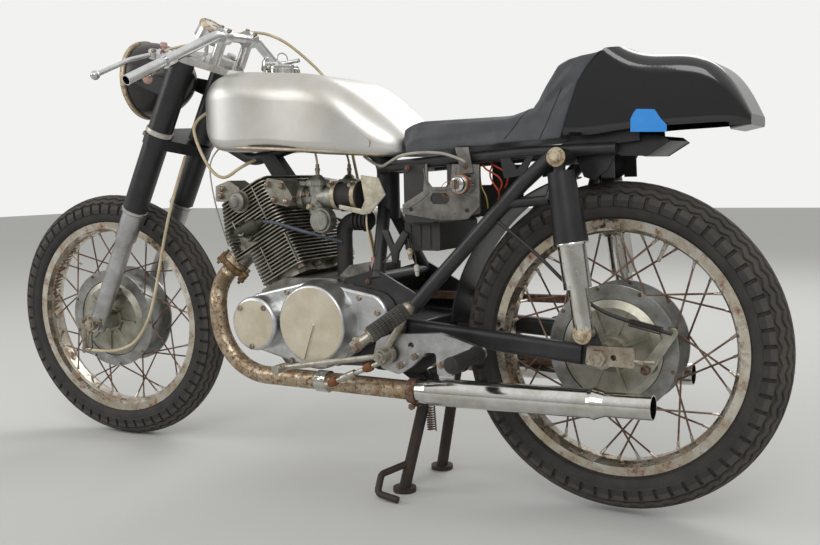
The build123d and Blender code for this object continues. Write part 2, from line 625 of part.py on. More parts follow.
cover_y = -crankcase_half
cover_face_y = cover_y - 40
base_outline = discs_hull([(-722, 345, 64.0), (-594, 346, 92.0), (-466, 372, 46.0)])
cover_base = slab(base_outline, cover_face_y, cover_y)
cover_base = fillet(cover_base.edges().group_by(Axis.Y)[0], 7)
clutch_plane = Plane(origin=(-577, cover_face_y + 1, 354), x_dir=(1, 0, 0), z_dir=(0, -1, 0))
clutch_bulge = clutch_plane.location * Cone(88, 79, 39, align=STANDING)
clutch_bulge = fillet(clutch_bulge.edges().group_by(Axis.Y)[0], 6)
rotor_plane = Plane(origin=(-719, cover_face_y + 1, 348), x_dir=(1, 0, 0), z_dir=(0, -1, 0))
rotor_cap = rotor_plane.location * Cylinder(56.5, 45, align=STANDING)
rotor_cap = fillet(rotor_cap.edges().group_by(Axis.Y)[0], 8)
oil_rib = slab(discs_hull([(-574, 352, 5.0), (-597, 287, 5.0)]), cover_face_y - 42, cover_face_y - 36)
left_cover = cover_base + clutch_bulge + rotor_cap + oil_rib

right_base = slab(discs_hull([(-715, 345, 68.0), (-600, 335, 84.0)]), crankcase_half, crankcase_half + 42)
right_base = fillet(right_base.edges().group_by(Axis.Y)[-1], 7)
right_plane = Plane(origin=(-640, crankcase_half + 41, 340), x_dir=(1, 0, 0), z_dir=(0, 1, 0))
right_bulge = right_plane.location * Cylinder(70, 29, align=STANDING)
right_bulge = fillet(right_bulge.edges().group_by(Axis.Y)[-1], 8)
nodes["engine_covers"] = left_cover + right_base + right_bulge

# The barrel's frame: x back and up across the fins, z along the bores, from the foot of the barrel
tilt = Plane(
    origin=(barrel_foot[0], 0, barrel_foot[1]),
    x_dir=(cos(radians(barrel_tilt)), 0, sin(radians(barrel_tilt))),
    z_dir=(-sin(radians(barrel_tilt)), 0, cos(radians(barrel_tilt))),
)


def fin(number, front, back, corner):
    """One plate of the stack, by its number from the foot, from front to back across the bores."""
    outline = RectangleRounded(back - front, 2 * fin_half_width, corner)
    return Pos((front + back) / 2, 0, 1 + number * fin_pitch) * extrude(outline, amount=fin_wall)


barrel_height = barrel_fins * fin_pitch
bore_stack = [
    Pos(0, side * bore_half_gap, -14) * Cylinder(bore_radius, barrel_height + 13, align=STANDING) for side in (-1, 1)
]
barrel_core = Pos(0, 0, -14) * Box(70, 2 * bore_half_gap, barrel_height + 13, align=STANDING) + bore_stack
barrel = barrel_core + [fin(number, fin_front, fin_back, 20.0) for number in range(barrel_fins)]
nodes["cylinder_barrel"] = tilt.location * barrel - nodes["crankcase"]

# Head: deeper fins, a recess for each plug, and a rocker box at each corner
head_height = head_fins * fin_pitch
full_fins = 8
head_slope = 3.2
head_core_front = head_front + 26
head_core = Pos((head_core_front + fin_back - 14) / 2, 0, barrel_height) * Box(
    fin_back - 14 - head_core_front, 2 * fin_half_width - 48, head_height - 5, align=STANDING
)
fronts = [head_front + head_slope * max(0, number - full_fins) for number in range(head_fins)]
head = head_core + [fin(barrel_fins + number, fronts[number], fin_back, 24.0) for number in range(head_fins)]
plug_recess_y = fin_half_width - 24
plug_recess = Pos(-52, -plug_recess_y, barrel_height + 42) * Rotation(90, 0, 0) * extrude(
    RectangleRounded(62, 54, 16), amount=60
)
head = head - both_sides(plug_recess)
plug_foot = Vector(-48, -plug_recess_y + 3, barrel_height + 38)
plug_way = Vector(0.3, -1, 0.1)
plug = rod(plug_foot, plug_foot + plug_way * 16, 13.0) + rod(plug_foot, plug_foot + plug_way * 48, 8.0)
head_solid = tilt.location * (head + both_sides(plug))
box_in = fin_half_width - 62
box_out = fin_half_width - 7
exhaust_box = slab(
    rounded([(-886, 600), (-884, 634), (-846, 646), (-818, 630), (-808, 596)], 5), -box_out, -box_in
)
exhaust_cap = slab(Pos(-810, 600) * Circle(25.0), -fin_half_width - 2, -box_in)
exhaust_cap += slab(Pos(-810, 600) * Circle(21.0), -fin_half_width - 13, -fin_half_width)
intake_box = slab(
    rounded([(-752, 630), (-740, 650), (-698, 643), (-674, 608), (-688, 588), (-722, 594)], 5), -box_out, -box_in
)
top_web = slab(rounded([(-850, 606), (-830, 640), (-735, 640), (-715, 604)], 5), -box_in - 1, box_in + 1)
port_face = Vector(-850.0, -76.0, 467.0)
port_turn = Vector(-880.0, -96.0, 428.0)
port_way = (port_turn - port_face) / (port_turn - port_face).length
exhaust_port = rod(port_face - port_way * 46, port_face, 27.0)
stub_end = Vector(carb_x - 31, -carb_half_gap, carb_z)
intake_stub = rod(stub_end + Vector(-66, 0, -12), stub_end - Vector(4, 0, 0), 18.0)
intake_flange = rod(stub_end - Vector(7, 0, 0), stub_end, 27.0)
castings = exhaust_box + exhaust_cap + intake_box + exhaust_port + intake_stub + intake_flange
collar_radius = 28.5
port_room = rod(port_face, port_face + port_way * 16, collar_radius + 1.5)
nodes["cylinder_head"] = head_solid - both_sides(port_room) + both_sides(castings) + top_web - nodes["frame_spine"]

# Carburettors behind the head, each with a side bowl, and rubber hoses behind them
hose_front_x = carb_x + 45
hose_end_x = -528.0
near_carb = (
    rod((carb_x - 28, -carb_half_gap, carb_z), (carb_x + 30, -carb_half_gap, carb_z), 20.0)
    + rod((carb_x - 30.7, -carb_half_gap, carb_z), (carb_x - 26, -carb_half_gap, carb_z), 27.0)
    + rod((carb_x + 29, -carb_half_gap, carb_z), (hose_front_x - 0.3, -carb_half_gap, carb_z), 25.0)
    + rod((carb_x, -carb_half_gap, carb_z - 34), (carb_x, -carb_half_gap, carb_z + 26), 21.0)
    + rod((carb_x, -carb_half_gap, carb_z + 24), (carb_x, -carb_half_gap, carb_z + 38), 24.0)
    + Pos(carb_x, -carb_half_gap, carb_z + 38) * Cone(17, 8, 10, align=STANDING)
)
bowl_place = (carb_x + 27, carb_z - 47)
bowl_y = -carb_half_gap - 9
bowl_link = slab(
    discs_hull([(carb_x + 2, carb_z - 24, 11.0), (bowl_place[0], bowl_place[1], 14.0)]), bowl_y - 10, bowl_y + 3
)
side_bowl = Pos(bowl_place[0], 0, bowl_place[1]) * turned([
    (bowl_y - 2, 0), (bowl_y - 2, 26), (bowl_y - 25, 26), (bowl_y - 25, 22), (bowl_y - 30, 20), (bowl_y - 30, 0)
])
near_carb += bowl_link
near_carb += side_bowl
nodes["carburettors"] = both_sides(near_carb)

hose_z = carb_z + 4
hose_rings = [
    rod((x, -carb_half_gap, hose_z), (x + 6, -carb_half_gap, hose_z), 29.0) for x in (hose_front_x + 4, hose_end_x - 12)
]
near_hose = rod((hose_front_x, -carb_half_gap, hose_z), (hose_end_x, -carb_half_gap, hose_z), 26.0) + hose_rings
breather = bent_bar([(-588, -40, 438), (-588, -40, 556), (hose_end_x + 8, -40, 558)], 30.0, 17.0)
breather += [rod((x, -40, 556.5), (x + 5, -40, 556.5), 21.0) for x in range(-560, -520, 10)]
nodes["intake_hoses"] = both_sides(near_hose) + (breather - nodes["crankcase"])

# Exhaust: one pipe and one reverse-cone muffler a side
pipe_points = [
    port_face + port_way * 0.5, port_turn, (-852.0, -pipe_y, 392.0),
    (-842.0, -pipe_y, pipe_low_z), (muffler_front_x - 0.8, -pipe_y, pipe_low_z),
]
pipe_bends = [36.0, 50.0, 128.0]
header_path = FilletPolyline(*[Vector(*point) for point in pipe_points], radius=pipe_bends)
header = sweep(Plane(origin=header_path @ 0, z_dir=header_path % 0) * Circle(pipe_radius), path=header_path)
header += rod(port_face + port_way * 0.5, port_face + port_way * 12, collar_radius)

muffler_start = Vector(muffler_front_x, -pipe_y, pipe_low_z)
muffler_end = Vector(muffler_end_x, -pipe_y, pipe_low_z + muffler_rise)
muffler_run = muffler_end - muffler_start
muffler_plane = Plane(origin=muffler_start, z_dir=muffler_run)
length = muffler_run.length
muffler_outline = Polyline(
    (0, 0), (pipe_radius + 3, 0), (pipe_radius + 3, 18), (muffler_radius, 44), (muffler_radius, length - 112),
    (muffler_radius + 2.5, length - 104), (muffler_tail_radius, length - 84), (muffler_tail_radius, length),
    (muffler_tail_radius - muffler_wall, length), (muffler_tail_radius - muffler_wall, length - muffler_bore_depth),
    (0, length - muffler_bore_depth), close=True
)
muffler = muffler_plane.location * revolve(Plane.XZ * make_face(muffler_outline), axis=Axis.Z)
hang_bolt = (-294.0, 290.0)
muffler_lug_y = pipe_y - 9.5
muffler_lug = slab(
    rounded([(-310, 240), (-310, 290), (-294, 302), (-278, 290), (-278, 240)], 4), -muffler_lug_y - 5, -muffler_lug_y
) - across(hang_bolt[0], hang_bolt[1], 5.3, -200, 0)
nodes["mufflers"] = both_sides(muffler + muffler_lug)
nodes["exhaust_pipes"] = both_sides(header)

# Chain: two straight runs and the turns round its sprockets
drive_r = pitch_radius(drive_teeth)
driven_r = pitch_radius(driven_teeth)
half_height = chain_plate_height / 2
chain_gap = sprocket_wall / 2 + 1.0
chain_outer = discs_hull([(drive_x, drive_z, drive_r + half_height), (0, rear_axle_z, driven_r + half_height)])
chain_inner = discs_hull([(drive_x, drive_z, drive_r - half_height), (0, rear_axle_z, driven_r - half_height)])
chain_loop = chain_outer - chain_inner
chain_plates = slab(chain_loop, chain_y - chain_width / 2, chain_y - chain_gap)
chain_plates += slab(chain_loop, chain_y + chain_gap, chain_y + chain_width / 2)
run_length = sqrt(drive_x**2 + (rear_axle_z - drive_z) ** 2)
wrap_lean = asin((driven_r - drive_r) / run_length)
run_lean = atan2(rear_axle_z - drive_z, -drive_x)
roller_start = 16.0
roller_end = run_length * cos(wrap_lean) - 50.0
rollers = []
for top in (1, -1):
    normal_angle = run_lean + top * (pi / 2 + wrap_lean)
    along = run_lean + top * wrap_lean
    for number in range(int((roller_end - roller_start) / chain_pitch)):
        reach = roller_start + number * chain_pitch
        x = drive_x + drive_r * cos(normal_angle) + reach * cos(along)
        z = drive_z + drive_r * sin(normal_angle) + reach * sin(along)
        rollers.append(across(x, z, 5.0, chain_y - chain_gap, chain_y + chain_gap))
nodes["drive_chain"] = chain_plates + rollers

# Tank: a loaf over the spine, flat sided, lofted through a few rounded sections
tank_sections = [
    # x, half width, bottom z, top z, top corner radius, bottom corner radius
    (-924.0, 62.0, 776.0, 838.0, 30.0, 24.0),
    (-904.0, 104.0, 740.0, 860.0, 46.0, 26.0),
    (-868.0, tank_half_width - 5, 714.0, 875.0, 56.0, 26.0),
    (-780.0, tank_half_width, 709.0, 878.0, 58.0, 24.0),
    (-620.0, tank_half_width, 699.0, 862.0, 58.0, 24.0),
    (-540.0, tank_half_width - 3, 693.0, 834.0, 60.0, 24.0),
    (-480.0, tank_half_width - 15, 689.0, 793.0, 64.0, 20.0),
    (-436.0, tank_half_width - 32, 688.0, 754.0, 44.0, 16.0),
    (-416.0, tank_half_width - 48, 691.0, 729.0, 22.0, 12.0),
]


def tank_section(x, half, low, high, top_radius, low_radius):
    outline = Rectangle(2 * half, high - low)
    outline = fillet(outline.vertices().sort_by(Axis.Y)[2:], top_radius)
    outline = fillet(outline.vertices().sort_by(Axis.Y)[:2], low_radius)
    return Plane(origin=(x, 0, (low + high) / 2), x_dir=(0, 1, 0), z_dir=(1, 0, 0)) * outline


tank_body = loft([tank_section(*row) for row in tank_sections])
tunnel = slab(
    Polygon((-1000, 500), (-1000, tunnel_top), (-640, 804), (-470, 722), (-470, 500), align=None),
    -tunnel_half_width, tunnel_half_width,
)
head_room = straight_ahead * Cylinder(head_radius + 6, 2000, align=STANDING)
nodes["fuel_tank"] = tank_body - tunnel - head_room

cap_x = -765.0
cap_z = 876.0
nodes["filler_cap"] = Pos(cap_x, 0, cap_z) * (
    Cylinder(36, 16, align=STANDING) + Pos(0, 0, 16) * Cylinder(30, 7, align=STANDING)
) - nodes["fuel_tank"]

# Seat: a flat pad with a raised bump stop, and the hollow tail cowl behind its slanted seam
seat_outline = Polygon(
    (-397, 685), (-405, 740), (-384, 750), (-180, 754), (-130, 766), (-84, 842), (-62, 852), *seat_seam[::-1],
    (-152, 703), (-275, 696), align=None,
)
seat = slab(seat_outline, -seat_half_width, seat_half_width)
long_edges = [edge for edge in seat.edges() if edge.geom_type == GeomType.LINE]
seat_rim = [edge for edge in long_edges if edge.center().X < -60 and edge.center().Z > 738 and abs(edge.center().Y) > 1]
seat = fillet(seat_rim, 8)
behind_seam = slab(Polygon(*seat_seam, (400, 900), (400, 600), (seat_seam[0][0], 600), align=None), -300, 300)
nodes["seat_pad"] = seat - nodes["fuel_tank"] - nodes["frame_rear"]

tail_sections = [
    # x, half width, bottom z, top z, corner radius
    (-90.0, seat_half_width, 703.0, 858.0, 30.0),
    (60.0, seat_half_width - 2, 705.0, 852.0, 32.0),
    (140.0, seat_half_width - 8, 708.0, 843.0, 32.0),
    (178.0, seat_half_width - 14, 711.0, 830.0, 30.0),
    (212.0, seat_half_width - 24, 716.0, 797.0, 24.0),
    (243.0, seat_half_width - 42, 722.0, 740.0, 7.0),
]


def tail_loft(rows):
    return loft([
        Plane(origin=(x, 0, (low + high) / 2), x_dir=(0, 1, 0), z_dir=(1, 0, 0))
        * RectangleRounded(2 * half, high - low, corner)
        for x, half, low, high, corner in rows
    ])


tail_hollow = tail_loft([
    (x - (0 if number == 0 else 2), half - tail_wall, low - 30, high - tail_wall, corner - tail_wall)
    for number, (x, half, low, high, corner) in enumerate(tail_sections[:-1])
])
nodes["tail_cowl"] = (tail_loft(tail_sections) - tail_hollow) & behind_seam

# Pressed bracket plates and the battery box under the seat, and the key switch
tray_y = rail_y + rail_radius + 0.2
tray_slot = slab(rounded([(-348, 626), (-348, 700), (-306, 700), (-306, 626)], 6), -200, 0)
tray = slab(rounded([(-402, 559), (-402, 672), (-236, 666), (-236, 575), (-310, 559)], 6), -tray_y - 3, -tray_y)
tray_foot = Pos(-368, -tray_y + 9, 558.5) * Box(60, 24, 3)
tray_bolts = [across(x, 664, 4.0, -tray_y - 6, -tray_y) for x in (-388, -262)]
battery_box = slab(rounded([(-413, 500), (-413, 557), (-334, 557), (-334, 500)], 4), -86, 86)
battery_box += [slab(rounded([(-404 + step, 506), (-404 + step, 551), (-398 + step, 551), (-398 + step, 506)], 2), -88, 88)
                for step in (0, 22, 44)]
nodes["battery_tray"] = both_sides(tray - tray_slot + tray_foot + tray_bolts) + battery_box
nodes["ignition_switch"] = across(-260, 631, 17.0, -150, -112) + across(-260, 631, 12.0, -112, -tray_y - 3)

# Inner mudguard between the engine and the rear wheel
guard_outer = Pos(0, rear_axle_z) * Circle(rear_tyre_radius + 22)
guard_inner = Pos(0, rear_axle_z) * Circle(rear_tyre_radius + 19)
guard_sector = Polygon((0, rear_axle_z), (-600, rear_axle_z + 60), (-600, rear_axle_z + 420), (-120, rear_axle_z + 420), align=None)
nodes["inner_mudguard"] = slab((guard_outer - guard_inner) & guard_sector, -50, 50)

# Footrests: cast brackets bolted to the frame plates, each with a strap to its muffler
bracket_y = frame_half + 34
bracket_wall = 13.0
lever_shaft = (-412.0, 302.0)
bracket = slab(
    rounded(
        [(-448, 300), (-440, 328), (-412, 340), (-303, 349), (-268, 342), (-226, 330), (-214, 320), (-228, 306),
         (-262, 308), (-277, 267), (-306, 267), (-309, 311), (-332, 310), (-362, 280), (-392, 262), (-430, 272)], 6,
    ),
    -bracket_y - bracket_wall, -bracket_y,
)
bracket -= across(lever_shaft[0], lever_shaft[1], 18.0, -300, 0)
bracket -= across(-363, 322, 6.0, -300, 0)
bracket_bolts = [across(x, z, 7.0, -bracket_y - bracket_wall - 5, -plate_y - plate_wall_y) for x, z in ((-384, 282), (-352, 302))]
strap_bolt = across(hang_bolt[0], hang_bolt[1], 5.0, -bracket_y - bracket_wall - 5, -bracket_y + 14)
rest_foot = Vector(-215, -bracket_y - 8, 318)
rest_end = Vector(-224, -262, 313)
rest_way = (rest_end - rest_foot) / (rest_end - rest_foot).length
rest_arm = rod(rest_foot, rest_foot + rest_way * 14, 12.0)
nodes["footrest_brackets"] = both_sides(bracket + bracket_bolts + strap_bolt + rest_arm)
rest = rod(rest_foot + rest_way * 14.3, rest_end, 13.0) + rod(rest_foot + rest_way * 14.3, rest_foot + rest_way * 19, 17.0)
rest += [rod(rest_foot + rest_way * step, rest_foot + rest_way * (step + 4), 14.5) for step in range(26, 104, 8)]
nodes["footrest_rubbers"] = both_sides(rest)

# Foot levers: gear lever and its link on the left, brake pedal on the right
shaft_end = bracket_y + 50
shaft_top = Vector(lever_shaft[0], -shaft_end + 8, lever_shaft[1])
left_shaft = across(lever_shaft[0], lever_shaft[1], 14.0, -shaft_end, -plate_y - plate_wall_y)
gear_lever = bent_bar([shaft_top, (-545, -208, 281), (-632, -212, 266)], 60.0, 6.0)
gear_lever += across(-632, 266, 9.0, -240, -206)
link = rod((lever_shaft[0] + 4, -193, lever_shaft[1] - 10), (-536, -196, 236), 5.0)
link += rod((-500, -195.2, 252), (-470, -194.5, 265.5), 7.5) + Pos(-536, -196, 236) * Sphere(8)
brake_pedal = across(lever_shaft[0], lever_shaft[1], 13.0, plate_y + plate_wall_y, shaft_end)
brake_pedal += bent_bar([(lever_shaft[0], 190, lever_shaft[1]), (-470, 200, 244), (-640, 198, 240)], 40.0, 7.0)
brake_pedal += Pos(-652, 192, 247) * Box(42, 48, 8)
nodes["foot_levers"] = left_shaft + gear_lever + link + brake_pedal

# Kick starter on the same shaft, with its rubber pedal folded back along the engine
kick_hinge = Vector(-354, -184, 398)
kick_end = Vector(-421, -262, 337)
kick_way = (kick_end - kick_hinge) / (kick_end - kick_hinge).length
kick_y = -bracket_y - bracket_wall - 12
kick_ring = across(lever_shaft[0], lever_shaft[1], 20.0, kick_y - 6, kick_y + 6) - left_shaft
kick_arm = bent_bar([(lever_shaft[0] + 6, kick_y, lever_shaft[1] + 22), (-382, kick_y, 356), kick_hinge], 26.0, 7.0)
kick_arm += rod((lever_shaft[0] + 5, kick_y, lever_shaft[1] + 17), (lever_shaft[0] + 10, kick_y, lever_shaft[1] + 28), 7.0)
kick = kick_ring + kick_arm + Pos(*kick_hinge) * Sphere(13)
kick += rod(kick_hinge, kick_hinge + kick_way * 92, 14.0) + rod(kick_hinge, kick_end, 9.0)
kick += rod(kick_end - kick_way * 12, kick_end, 12.0)
nodes["kick_starter"] = kick

# Centre stand: two legs on a cross tube, with pads for feet and a foot tang on the left
foot_point = (stand_foot_x, -stand_half_gap - 6, 6)
stand_leg = rod((stand_pivot[0], -stand_half_gap + 16, stand_pivot[1]), foot_point, stand_leg_radius)
stand_foot = Pos(stand_foot_x, -stand_half_gap - 6, 0) * Cylinder(stand_foot_radius, 9, align=STANDING)
stand_cross = across(stand_pivot[0], stand_pivot[1], 16.0, -stand_half_gap + 4, stand_half_gap - 4)
leg_tie = across(stand_pivot[0] - 11, stand_pivot[1] - 55, 9.0, -stand_half_gap + 12, stand_half_gap - 12)
tang = bent_bar(
    [(stand_foot_x + 6, -stand_half_gap - 7, 58), (-452, -134, 46), (-448, -158, 14), (-400, -159, 8)], 13.0, 7.0
)
stand = both_sides(stand_leg + stand_foot) + stand_cross + leg_tie + tang
stand_floor = Pos(stand_foot_x, 0, -100) * Box(400, 600, 200, align=CENTRE)
stand_pin_radius = 9.0
stand_bore = across(stand_pivot[0], stand_pivot[1], stand_pin_radius + 0.4, -200, 200)
nodes["centre_stand"] = stand - stand_floor - stand_bore

hanger_y = stand_half_gap + 4
stand_pin = across(stand_pivot[0], stand_pivot[1], stand_pin_radius, -hanger_y - 10, hanger_y + 10)
hanger = slab(discs_hull([(stand_pivot[0], stand_pivot[1], 18.0), (-440, 292, 28.0)]), -hanger_y - 6, -hanger_y)
hanger += across(-442, 294, 14.0, -plate_y, -hanger_y - 5)
nodes["stand_pin"] = stand_pin + both_sides(hanger)

# Cables: rear brake, front brake, and the clutch's, which loops over the tank
cable_diameter = 7.0
nodes["chassis_cables"] = cable(
    [(-195, -118, 560), (-131, -104, 508), (-68, -100, 446), (-18, -94, 404), (46, -93, 382), (121, -93, 366)],
    cable_diameter,
)
nodes["front_brake_cable"] = cable(
    [(-1022, -47, 705), (-1041, -66, 628), (-1064, -74, 548), (-1079, -84, 466), (-1088, -97, 388), (-1110, -101, 320),
     (-1156, -100, 262), (-1216, -100, 238), (-1276, -98, 232), (-1338, -94.5, 231)],
    cable_diameter,
)
nodes["clutch_cable"] = cable(
    [(-941, -196, 912), (-1000, -126, 938), (-1022, -45, 956), (-984, 26, 976), (-906, 78, 997), (-835, 90, 973),
     (-775, 98, 926), (-730, 112, 880), (-708, 142, 822), (-692, 145, 750), (-676, 142, 682), (-658, 139, 614),
     (-637, 132, 548), (-618, 128, 480), (-604, 126, 421)],
    cable_diameter,
)

# The finished part stands on the floor with its box centred on the origin
box = Compound(children=[Compound(shape.solids()) for shape in nodes.values()]).bounding_box()
shift = Vector(-(box.min.X + box.max.X) / 2, -(box.min.Y + box.max.Y) / 2, -box.min.Z)
os.makedirs("parts", exist_ok=True)
for name, shape in nodes.items():
    export_step(Compound(Pos(shift.X, shift.Y, shift.Z) * Compound(shape.solids())), f"parts/{name}.step")
print("shift", shift)
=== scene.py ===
from math import atan2, cos, pi, radians, sin

import bmesh
import bpy
from mathutils import Matrix, Vector


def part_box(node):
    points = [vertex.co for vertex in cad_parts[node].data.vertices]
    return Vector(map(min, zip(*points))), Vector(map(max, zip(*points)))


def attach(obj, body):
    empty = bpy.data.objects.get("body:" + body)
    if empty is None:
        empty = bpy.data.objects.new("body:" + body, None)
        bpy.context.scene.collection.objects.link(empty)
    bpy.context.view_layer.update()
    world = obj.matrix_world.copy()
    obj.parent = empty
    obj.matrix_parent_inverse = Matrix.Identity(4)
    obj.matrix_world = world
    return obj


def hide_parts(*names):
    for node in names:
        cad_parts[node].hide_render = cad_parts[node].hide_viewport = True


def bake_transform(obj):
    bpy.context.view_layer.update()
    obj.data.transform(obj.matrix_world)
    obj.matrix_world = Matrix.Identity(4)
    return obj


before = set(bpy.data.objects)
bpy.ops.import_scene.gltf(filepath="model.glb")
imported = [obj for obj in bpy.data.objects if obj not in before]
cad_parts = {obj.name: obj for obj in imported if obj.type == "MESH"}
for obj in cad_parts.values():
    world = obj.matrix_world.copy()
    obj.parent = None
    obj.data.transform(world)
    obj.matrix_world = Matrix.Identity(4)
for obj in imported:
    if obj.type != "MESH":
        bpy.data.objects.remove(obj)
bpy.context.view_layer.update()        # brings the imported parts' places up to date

# Camera: behind the machine's left side at seat height, looking forward along it, turned and
# tipped as the photographer held it. The picture is 820 pixels wide.
picture_width = 820
focal_pixels = 941.1
eye = (1.1674, -1.7174, 0.6482)
eye_turn, eye_dip, eye_roll = radians(29.49), radians(5.86), radians(-1.14)
camera_data = bpy.data.cameras.new("camera")
camera_data.lens = focal_pixels / picture_width * camera_data.sensor_width
camera = bpy.data.objects.new("camera", camera_data)
bpy.context.collection.objects.link(camera)
camera.matrix_world = (
    Matrix.Translation(eye) @ Matrix.Rotation(eye_turn, 4, "Z")
    @ Matrix.Rotation(pi / 2 - eye_dip, 4, "X") @ Matrix.Rotation(eye_roll, 4, "Z")
)
bpy.context.scene.camera = camera
bpy.context.scene.view_settings.view_transform = "Standard"


def linear(code):
    """A screen colour such as #8a8f94 in the linear values that shaders take."""
    channels = [int(code[i:i + 2], 16) / 255 for i in (1, 3, 5)]
    return (*(c / 12.92 if c <= 0.04045 else ((c + 0.055) / 1.055) ** 2.4 for c in channels), 1.0)


def add_node(tree, kind, inputs=None, **settings):
    """Adds a shader node, sets it up, and feeds its inputs with values or other nodes' outputs."""
    made = tree.nodes.new(f"ShaderNode{kind}")
    for name, value in settings.items():
        setattr(made, name, value)
    for key, value in (inputs or {}).items():
        if isinstance(value, bpy.types.NodeSocket):
            tree.links.new(value, made.inputs[key])
        else:
            made.inputs[key].default_value = value
    return made


# Studio: a matt pale grey floor, a pale wall of light all round, and three soft boxes that
# light a surface to about the colour that it is written in.
floor_colour, wall_colour = "#cfcfcd", "#f2f2f0"
sky_strength = 0.62
soft_boxes = [
    # place, what it points at, watts, width
    ((1.6, -3.6, 3.2), (0.1, 0.0, 0.4), 70.0, 2.4),
    ((-3.4, -2.6, 2.2), (-0.3, 0.0, 0.5), 45.0, 2.0),
    ((0.2, 3.2, 3.4), (0.0, 0.0, 0.5), 60.0, 2.6),
]
for number, (place, target, watts, width) in enumerate(soft_boxes):
    lamp = bpy.data.lights.new(f"soft_box_{number + 1}", "AREA")
    lamp.energy, lamp.size = watts, width
    holder = bpy.data.objects.new(lamp.name, lamp)
    bpy.context.collection.objects.link(holder)
    holder.location = place
    holder.rotation_euler = (Vector(target) - Vector(place)).to_track_quat("-Z", "Y").to_euler()

studio = bpy.data.worlds.new("studio")
bpy.context.scene.world = studio
studio.use_nodes = True
tree = studio.node_tree
tree.nodes.clear()
path = add_node(tree, "LightPath")
seen = add_node(tree, "Math", {0: path.outputs["Is Camera Ray"],
                               1: path.outputs["Is Transmission Ray"]}, operation="MAXIMUM")
direction = add_node(tree, "TexCoord")
split = add_node(tree, "SeparateXYZ", {0: direction.outputs["Generated"]})
height = add_node(tree, "MapRange", {0: split.outputs["Z"], 1: -0.05, 2: 0.7, 3: 0.34, 4: 1.0})
gloss = add_node(tree, "Mix", {0: path.outputs["Is Glossy Ray"], 2: sky_strength, 3: height.outputs[0]})
strength = add_node(tree, "Mix", {0: seen.outputs[0], 2: gloss.outputs[0], 3: 1.0})
light = add_node(tree, "Background", {"Color": linear(wall_colour), "Strength": strength.outputs[0]})
add_node(tree, "OutputWorld", {0: light.outputs[0]})

bpy.ops.object.select_all(action="DESELECT")
bpy.ops.mesh.primitive_plane_add(size=30.0, location=(0, 0, -0.0005))
floor = bpy.context.object
floor.name = "studio_floor"
paper = bpy.data.materials.new("matt_studio_paper")
paper.use_nodes = True
paper.node_tree.nodes["Principled BSDF"].inputs["Base Color"].default_value = linear(floor_colour)
paper.node_tree.nodes["Principled BSDF"].inputs["Roughness"].default_value = 0.9
floor.data.materials.append(paper)


# Tyres: black rubber on a woven casing, vulcanised in a mould that leaves zigzag ribs round the
# crown and slashes on the shoulders. Where it has rolled, dust has greyed the black.
rust_shade, rust_roughness = 0.45, 0.82


def weathered(name, clean, stained, rust=None, stain_mm=40.0, rust_mm=14.0, rust_from=0.6, rust_soft=0.08,
              metallic=1.0, roughness=0.3, uneven=0.1, grain_mm=1.0, grain_high_mm=0.04, coat=0.0):
    """A worn finish: two tones in soft patches, a fine grain, and rust or dirt that breaks through."""
    material = bpy.data.materials.new(name)
    material.use_nodes = True
    tree = material.node_tree
    surface = tree.nodes["Principled BSDF"]
    place = add_node(tree, "TexCoord").outputs["Object"]
    patches = add_node(tree, "TexNoise",
                       {"Vector": place, "Scale": 1000 / stain_mm, "Detail": 5.0, "Roughness": 0.62})
    blend = add_node(tree, "MapRange", {0: patches.outputs[0], 1: 0.34, 2: 0.66})
    tone = add_node(tree, "Mix", {0: blend.outputs[0], 6: linear(clean), 7: linear(stained)},
                    data_type="RGBA")
    grain = add_node(tree, "TexNoise",
                     {"Vector": place, "Scale": 1000 / grain_mm, "Detail": 3.0, "Roughness": 0.6})
    matt = add_node(tree, "MapRange", {0: grain.outputs[0], 1: 0.25, 2: 0.75,
                                       3: max(0.02, roughness - uneven), 4: roughness + uneven})
    colour, shine, shape = tone.outputs[2], matt.outputs[0], grain.outputs[0]
    surface.inputs["Metallic"].default_value = metallic
    if rust:
        spots = add_node(tree, "TexNoise",
                         {"Vector": place, "Scale": 1000 / rust_mm, "Detail": 9.0, "Roughness": 0.68})
        mask = add_node(tree, "MapRange",
                        {0: spots.outputs[0], 1: rust_from - rust_soft, 2: rust_from + rust_soft}).outputs[0]
        dark_rust = [channel * rust_shade for channel in linear(rust)]
        shade = add_node(tree, "Mix", {0: grain.outputs[0], 6: linear(rust), 7: dark_rust}, data_type="RGBA")
        mixed = add_node(tree, "Mix", {0: mask, 6: colour, 7: shade.outputs[2]}, data_type="RGBA")
        colour = mixed.outputs[2]
        shine = add_node(tree, "Mix", {0: mask, 2: shine, 3: rust_roughness}).outputs[0]
        bright = add_node(tree, "Mix", {0: mask, 2: metallic, 3: 0.0}).outputs[0]
        tree.links.new(bright, surface.inputs["Metallic"])
        shape = add_node(tree, "Math", {0: mask, 1: shape}, operation="ADD").outputs[0]
    relief = add_node(tree, "Bump", {"Height": shape, "Distance": grain_high_mm / 1000, "Strength": 1.0})
    tree.links.new(colour, surface.inputs["Base Color"])
    tree.links.new(shine, surface.inputs["Roughness"])
    tree.links.new(relief.outputs[0], surface.inputs["Normal"])
    surface.inputs["Coat Weight"].default_value = coat
    return material


def dress(name, *materials, part=None):
    """Gives a CAD node its finish, or several, shared out by a test of each face."""
    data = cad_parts[name].data
    data.materials.clear()
    for material in materials:
        data.materials.append(material)
    for face in data.polygons:
        face.material_index = part(face) if part else 0


def spot(x, y, z):
    """A place in mm back from the rear axle, to the right and up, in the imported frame's metres."""
    return Vector((x + 645.218, y + 4.81638, z + 0.017564)) / 1000


